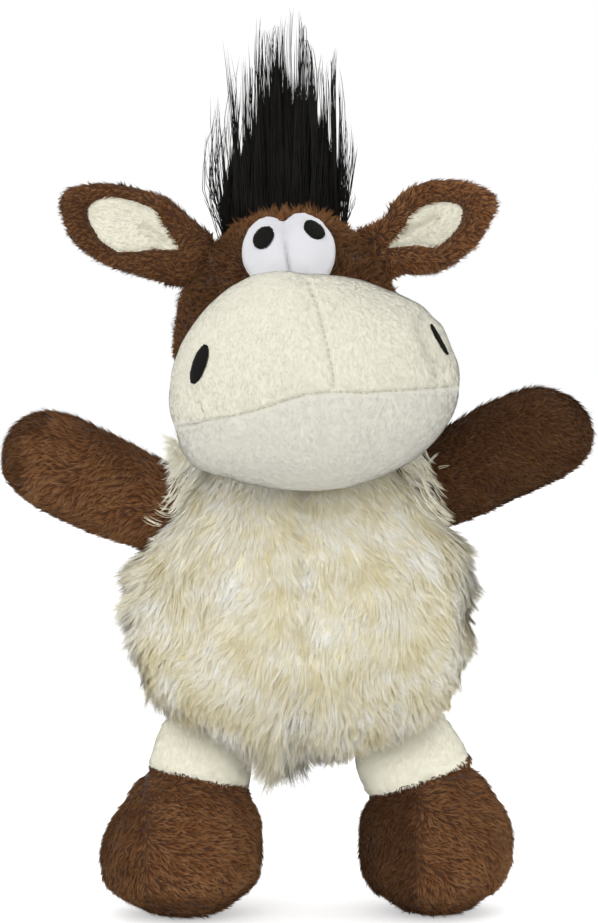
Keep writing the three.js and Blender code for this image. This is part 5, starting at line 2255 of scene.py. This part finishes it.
@dataclass
class Arm:
    """A stuffed arm of brown plush that hangs out from its shoulder."""

    wardrobe: Wardrobe
    side: Side
    body_x: float = 0.0005
    inside_body: float = 0.037
    axis_z: Table = ((-105, -40), (171, 152))
    droop: Table = ((-104, -92, -75, -50), (0.0, 1.5, 3.8, 4.2))
    root_fuller: Table = ((52, 60, 67, 72, 78, 88), (2.0, 2.6, 2.4, 1.7, 0.7, 0.0))
    end_lower: Table = ((86, 95, 103, 109), (0.0, 1.5, 1.7, 0.4))

    def shape(self, piece: bpy.types.Object) -> None:
        """Lets the left arm sag below, and fills the right arm out at its root.

        Args:
            piece: The arm's cloth.
        """
        places = coordinates(piece.data)
        flat = seen(places)
        if self.side is Side.RIGHT:
            normals = outward(piece.data)
            fuller = np.interp(flat[:, 0], *self.root_fuller) * normals[:, 2] ** 2
            fuller -= np.interp(flat[:, 0], *self.end_lower) * np.clip(normals[:, 2], 0, 1)
            move_to(piece.data, places + normals * (fuller * MM)[:, None])
            return
        axis = np.interp(flat[:, 0], *self.axis_z)
        below = np.clip((axis - flat[:, 1]) / 16, 0, 1)
        places[:, 2] -= below * np.interp(flat[:, 0], *self.droop) * MM
        move_to(piece.data, places)

    def build(self) -> None:
        """Makes the arm's cloth and its pile."""
        side = self.side.value
        form = SewnForm(
            f"arm_cloth_{side}",
            (f"arm_{side}", f"arm_filling_{side}"),
            f"{side}_arm",
            "brown_plush",
            voxel_mm=2.5,
            inset_mm=0.9,
            swell_mm=1.2,
        )
        piece = form.build()
        self.shape(piece)
        form.dress([self.wardrobe.brown_ground])
        roots = Roots.on(piece, PLUSH.per_mm2, np.random.default_rng(60 + self.side.sign))
        roots = roots.only(np.abs(roots.places[:, 0] - self.body_x) > self.inside_body)
        comb = alike((self.side.sign, 0.0, -0.35), len(roots.places))
        comb = roots.combed(comb, 0.45, 22, 63)
        flat = seen(roots.places)
        # Painted shade: the left arm is darker at its end, and the right arm darker all over, most at its
        # end.
        if self.side is Side.LEFT:
            shaded = np.maximum(-100 - flat[:, 0], np.minimum(-91 - flat[:, 0], flat[:, 1] - 177))
            painted_shading = -0.9 * np.clip(shaded / 2 + 0.5, 0, 1)
        else:
            painted_shading = -1.1 - 0.2 * ramp(flat[:, 0], 95, 4)
        pile = PLUSH.grow(f"arm_pile_{side}", roots, comb, 64, self.wardrobe.brown, painted_shading=painted_shading)
        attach(pile, f"{side}_arm")
        form.finish()


@dataclass(frozen=True)
class Parting:
    """Where a foot's pile parts, seen from the front, how it lies there, and the painted shade and light on
    each side of it.
    """

    at_mm: float
    blur_mm: float
    combs: tuple[tuple[float, float, float], tuple[float, float, float]]
    # Painted shade and light on the left and the right of the parting.
    painted_shadings: tuple[float, float]


@dataclass
class Leg:
    """A stuffed leg: a cream velour cuff over a round brown plush foot."""

    wardrobe: Wardrobe
    side: Side
    cuff_proud_mm: float = 1.7
    seam_blend_mm: float = 1.6
    foot_narrow: Table = ((0, 22, 35, 43, 52), (1.0, 1.0, 0.95, 0.89, 0.9))
    foot_outward: Table = ((0, 6, 22, 34, 42), (2.2, 4.2, 3.6, 2.0, 0.0))
    right_foot_outward: Table = (
        (0, 10, 20, 24, 38, 46, 52), (-2.4, -1.8, 0, 0, 1.8, 0.8, 0.8),
    )
    right_cuff_outward: Table = ((44, 52, 66, 74), (2.8, 4.4, 6.2, 8.0))
    right_cuff_inward: Table = ((46, 54, 62), (0.8, 2.4, 3.2))
    left_cuff_outward: Table = ((50, 60, 70), (0.6, 1.5, 3.0))

    def parting(self) -> Parting:
        """Where this foot's pile parts.

        Returns:
            The parting, with what lies left of it first.
        """
        if self.side is Side.LEFT:
            return Parting(-56.5, 2.0, ((-0.3, 0.0, -1.0), (1.0, -0.1, -0.3)), (-0.3, 0.2))
        return Parting(43.0, 3.0, ((-0.3, 0.0, -1.0), (0.7, 0.0, -0.6)), (-1.05, 0.1))

    def shape(self, piece: bpy.types.Object, cuff: tuple[str, ...], foot: tuple[str, ...]) -> None:
        """Makes the foot pear-shaped and the cuff, whose pile is short, fuller.

        Args:
            piece: The leg's cloth.
            cuff: The cuff's CAD nodes.
            foot: The foot's CAD nodes.
        """
        mesh = piece.data
        places = coordinates(mesh)
        nearer_cuff = Reach(foot).distance(places) - Reach(cuff).distance(places)
        onto_cuff = np.clip(nearer_cuff / self.seam_blend_mm + 0.7, 0, 1)
        low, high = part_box(foot[0])
        middle = (low.x + high.x) / 2
        tall = places[:, 2] / MM
        axis = middle - self.side.sign * 0.22 * np.clip(places[:, 2] - 0.022, 0, None)
        narrow = np.interp(tall, *self.foot_narrow)
        narrow = narrow + (1 - narrow) * onto_cuff
        on_foot = 1 - onto_cuff
        outer = np.clip(self.side.sign * (places[:, 0] - axis) / (25 * MM), 0, 1)
        shift = self.side.sign * np.interp(tall, *self.foot_outward) * MM * on_foot * outer
        if self.side is Side.RIGHT:
            shift *= 0.2
            shift += np.interp(tall, *self.right_foot_outward) * MM * on_foot * outer
            shift += np.interp(tall, *self.right_cuff_outward) * MM * onto_cuff * outer
            inner = np.clip((axis - places[:, 0]) / (20 * MM), 0, 1)
            shift -= np.interp(tall, *self.right_cuff_inward) * MM * onto_cuff * inner
        else:
            shift -= np.interp(tall, *self.left_cuff_outward) * MM * onto_cuff * outer
        places[:, 0] = axis + (places[:, 0] - axis) * narrow + shift
        move_to(mesh, places)
        move_to(mesh, places + outward(mesh) * (onto_cuff * self.cuff_proud_mm * MM)[:, None])

    def build(self) -> None:
        """Makes the leg's cloth and both its piles."""
        side = self.side.value
        cuff, foot = (f"cuff_{side}",), (f"foot_{side}", f"sole_{side}")
        form = SewnForm(
            f"leg_cloth_{side}",
            (*cuff, *foot, f"leg_filling_{side}"),
            f"{side}_leg",
            "brown_plush",
            voxel_mm=2.5,
            inset_mm=1.2,
            swell_mm=1.2,
            seams=((cuff, foot), ((foot[0],), (foot[1],))),
            seam_depth_mm=0.7,
            seam_width_mm=1.0,
        )
        piece = form.build()
        form.dress([self.wardrobe.brown_ground, self.wardrobe.velour_ground_painted_lighter], (foot, cuff))
        self.shape(piece, cuff, foot)
        roots = Roots.on(piece, PLUSH.per_mm2, np.random.default_rng(80 + self.side.sign))
        roots = roots.only(Reach((*cuff, *foot)).distance(roots.places) < 4.5)
        which = worn_by(roots, (foot, cuff))
        flat = seen(roots.places)
        parting = self.parting()
        parted = np.clip((flat[:, 0] - parting.at_mm) / parting.blur_mm + 0.5, 0, 1)
        # Painted shade and light on each side of the parting, for how the light falls on the pile lying each
        # way.
        painted_shading = np.interp(parted, (0, 1), parting.painted_shadings)
        first, second = np.array(parting.combs)
        comb = first * (1 - parted)[:, None] + second * parted[:, None]
        comb = roots.combed(comb, 0.4, 20, 83)
        brown = which == 0
        seam = form.seam_distance(roots.places)
        share = 1 - 0.25 * bell(seam, 2)
        pile = PLUSH.grow(
            f"foot_pile_{side}",
            roots.only(brown),
            comb[brown],
            84,
            self.wardrobe.brown,
            share[brown],
            painted_shading=painted_shading[brown],
        )
        down = flattened(alike((0.0, 0.0, -1.0), len(roots.places)), roots.normals)
        # The cuffs wear the velour painted lighter, against the body's shade on them.
        nap = VELOUR.grow(f"cuff_pile_{side}", roots.only(~brown), down[~brown], 85, self.wardrobe.velour)
        for grown, slot in ((pile, "brown_plush"), (nap, "cream_velour")):
            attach(grown, f"{side}_leg")
        form.finish()


@dataclass
class Tail:
    """A thin stuffed tail with a tuft of black hair."""

    wardrobe: Wardrobe

    def build(self) -> None:
        """Makes the tail's cloth, its pile and its tuft."""
        form = SewnForm(
            "tail_cloth", ("tail",), "tail", "brown_plush", voxel_mm=1.3, inset_mm=1.2, swell_mm=0.4, evened=3
        )
        piece = form.build()
        form.dress([self.wardrobe.brown_ground])
        roots = Roots.on(piece, PLUSH.per_mm2, np.random.default_rng(90))
        comb = alike((0.0, 0.5, -0.85), len(roots.places))
        pile = PLUSH.grow("tail_pile", roots, comb, 91, self.wardrobe.brown, 0.8)
        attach(pile, "tail")
        self.build_tuft()
        form.finish()

    def build_tuft(self) -> None:
        """Makes the tuft of hair at the tail's end."""
        rng = np.random.default_rng(92)
        low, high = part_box("tail_tuft")
        count, stations = 420, 4
        around = rng.uniform(0, 2 * math.pi, count)
        wide = np.sqrt(rng.random(count))
        top = np.array(((low.x + high.x) / 2, low.y + 5.5 * MM, high.z - 1 * MM))
        tip = np.array(((low.x + high.x) / 2, high.y - 5 * MM, low.z + 1 * MM))
        out = np.stack((np.cos(around), np.sin(around), np.zeros(count)), axis=1)
        points = []
        for s in np.linspace(0, 1, stations + 1):
            round_ = 3.2 + 3.0 * math.sin(math.pi * min(1.0, s * 1.25)) - 1.8 * s
            middle = top * (1 - s) + tip * s
            spread = out * (wide * round_ * MM)[:, None]
            points.append(middle + spread + rng.normal(0, 0.3 * s, (count, 3)) * MM)
        piece = FibreShape(stations).copies(
            "tail_tuft_hair",
            np.stack(points),
            np.full(count, 0.2 * MM),
            [1, 1, 0.9, 0.6, 0.0],
            out,
            rng.random((count, 2)),
        )
        piece.data.materials.append(self.wardrobe.hair)
        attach(piece, "tail")
        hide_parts("tail_tuft")


@dataclass
class Squeaker:
    """The squeaker inside the body: bellows and whistle plug."""

    wardrobe: Wardrobe

    def build(self) -> None:
        """Gives the two CAD pieces, whose shapes are right, their plastics."""
        plastics = {"squeaker_bellows": self.wardrobe.bellows, "squeaker_plug": self.wardrobe.plug}
        for node, finish in plastics.items():
            mesh = frame["nodes"][node].data
            mesh.materials.clear()
            mesh.materials.append(finish)


@dataclass
class Studio:
    """A pale floor, soft light from all round and the photograph's camera."""

    mm_per_pixel: float = 0.366
    frame_pixels: int = 923
    floor_glow: float = 0.4

    def place_camera(self) -> None:
        """Puts the camera where the photograph was taken from."""
        data = bpy.data.cameras.new("camera")
        data.sensor_fit, data.sensor_height = "VERTICAL", 36.0
        data.lens = 36.0 * CAMERA_DISTANCE / (self.frame_pixels * self.mm_per_pixel * MM)
        camera = bpy.data.objects.new("camera", data)
        back = Vector((0, -math.cos(CAMERA_ELEVATION), math.sin(CAMERA_ELEVATION)))
        camera.location = Vector(AIM) + back * CAMERA_DISTANCE
        camera.rotation_euler = (math.radians(90) - CAMERA_ELEVATION, 0, 0)
        bpy.context.scene.collection.objects.link(camera)
        bpy.context.scene.camera = camera

    def add_lamp(self, name: str, place: Sequence[float], size: float, power: float) -> None:
        """Adds a square soft lamp that points at the toy.

        Args:
            name: The lamp's name.
            place: Where it stands, in metres.
            size: The length of its side, in metres.
            power: Its power in watts.
        """
        data = bpy.data.lights.new(name, "AREA")
        data.shape, data.size, data.energy = "SQUARE", size, power
        lamp = bpy.data.objects.new(name, data)
        lamp.location = place
        aim = Vector(AIM) - Vector(place)
        lamp.rotation_euler = aim.to_track_quat("-Z", "Y").to_euler()
        bpy.context.scene.collection.objects.link(lamp)

    def light(self) -> None:
        """Lights the toy evenly, a little more from the upper left."""
        bpy.context.scene.view_settings.view_transform = "Standard"
        self.add_lamp("key", (-0.38, -1.5, 0.75), 1.0, 9.2)
        self.add_lamp("fill", (0.7, -1.5, 0.12), 1.2, 3.4)
        world = bpy.context.scene.world or bpy.data.worlds.new("studio")
        bpy.context.scene.world = world
        world.use_nodes = True
        tree = world.node_tree
        tree.nodes.clear()
        path = add_node(tree, "ShaderNodeLightPath")
        shown = add_node(
            tree,
            "ShaderNodeMath",
            {0: path.outputs["Is Camera Ray"], 1: path.outputs["Is Glossy Ray"]},
            operation="MAXIMUM",
        )
        clear = add_node(
            tree,
            "ShaderNodeMath",
            {0: shown.outputs[0], 1: path.outputs["Is Transmission Ray"]},
            operation="MAXIMUM",
        )
        soft = add_node(tree, "ShaderNodeBackground", {"Color": (1, 1, 1, 1), "Strength": 1.05})
        white = add_node(tree, "ShaderNodeBackground", {"Color": (1, 1, 1, 1), "Strength": 1.0})
        both = add_node(
            tree, "ShaderNodeMixShader", {0: clear.outputs[0], 1: soft.outputs[0], 2: white.outputs[0]}
        )
        add_node(tree, "ShaderNodeOutputWorld", {"Surface": both.outputs[0]})

    def lay_floor(self) -> None:
        """Lays a pale floor that fades to white where nothing shades it."""
        bm = bmesh.new()
        bmesh.ops.create_grid(bm, x_segments=1, y_segments=1, size=3.0)
        mesh = bpy.data.meshes.new("floor")
        bm.to_mesh(mesh)
        bm.free()
        floor = object_of("floor", mesh)
        floor.location.z = -0.2 * MM
        material, shader = new_material("pale_floor")
        shader.inputs["Base Color"].default_value = linear("#f4f4f4")
        shader.inputs["Roughness"].default_value = 0.9
        shader.inputs["Specular IOR Level"].default_value = 0.0
        tree = material.node_tree
        path = add_node(tree, "ShaderNodeLightPath")
        glow = add_node(
            tree,
            "ShaderNodeMath",
            {0: path.outputs["Is Camera Ray"], 1: self.floor_glow},
            operation="MULTIPLY",
        )
        shader.inputs["Emission Color"].default_value = (1, 1, 1, 1)
        tree.links.new(glow.outputs[0], shader.inputs["Emission Strength"])
        mesh.materials.append(material)


def main() -> None:
    """Builds the toy and its studio, and reports each piece."""
    logging.basicConfig(level=logging.INFO, format="%(name)s: %(message)s")
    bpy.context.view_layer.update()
    studio = Studio()
    studio.place_camera()
    wardrobe = Wardrobe()
    ShaggyBody(wardrobe).build()
    Head(wardrobe).build()
    for side in Side:
        Ear(wardrobe, side).build()
        Arm(wardrobe, side).build()
        Leg(wardrobe, side).build()
    Tail(wardrobe).build()
    Squeaker(wardrobe).build()
    studio.light()
    studio.lay_floor()
    for piece in bpy.context.scene.objects:
        if piece.type == "MESH":
            log.info("%s: %d faces", piece.name, len(piece.data.polygons))


if __name__ == "__main__":
    main()
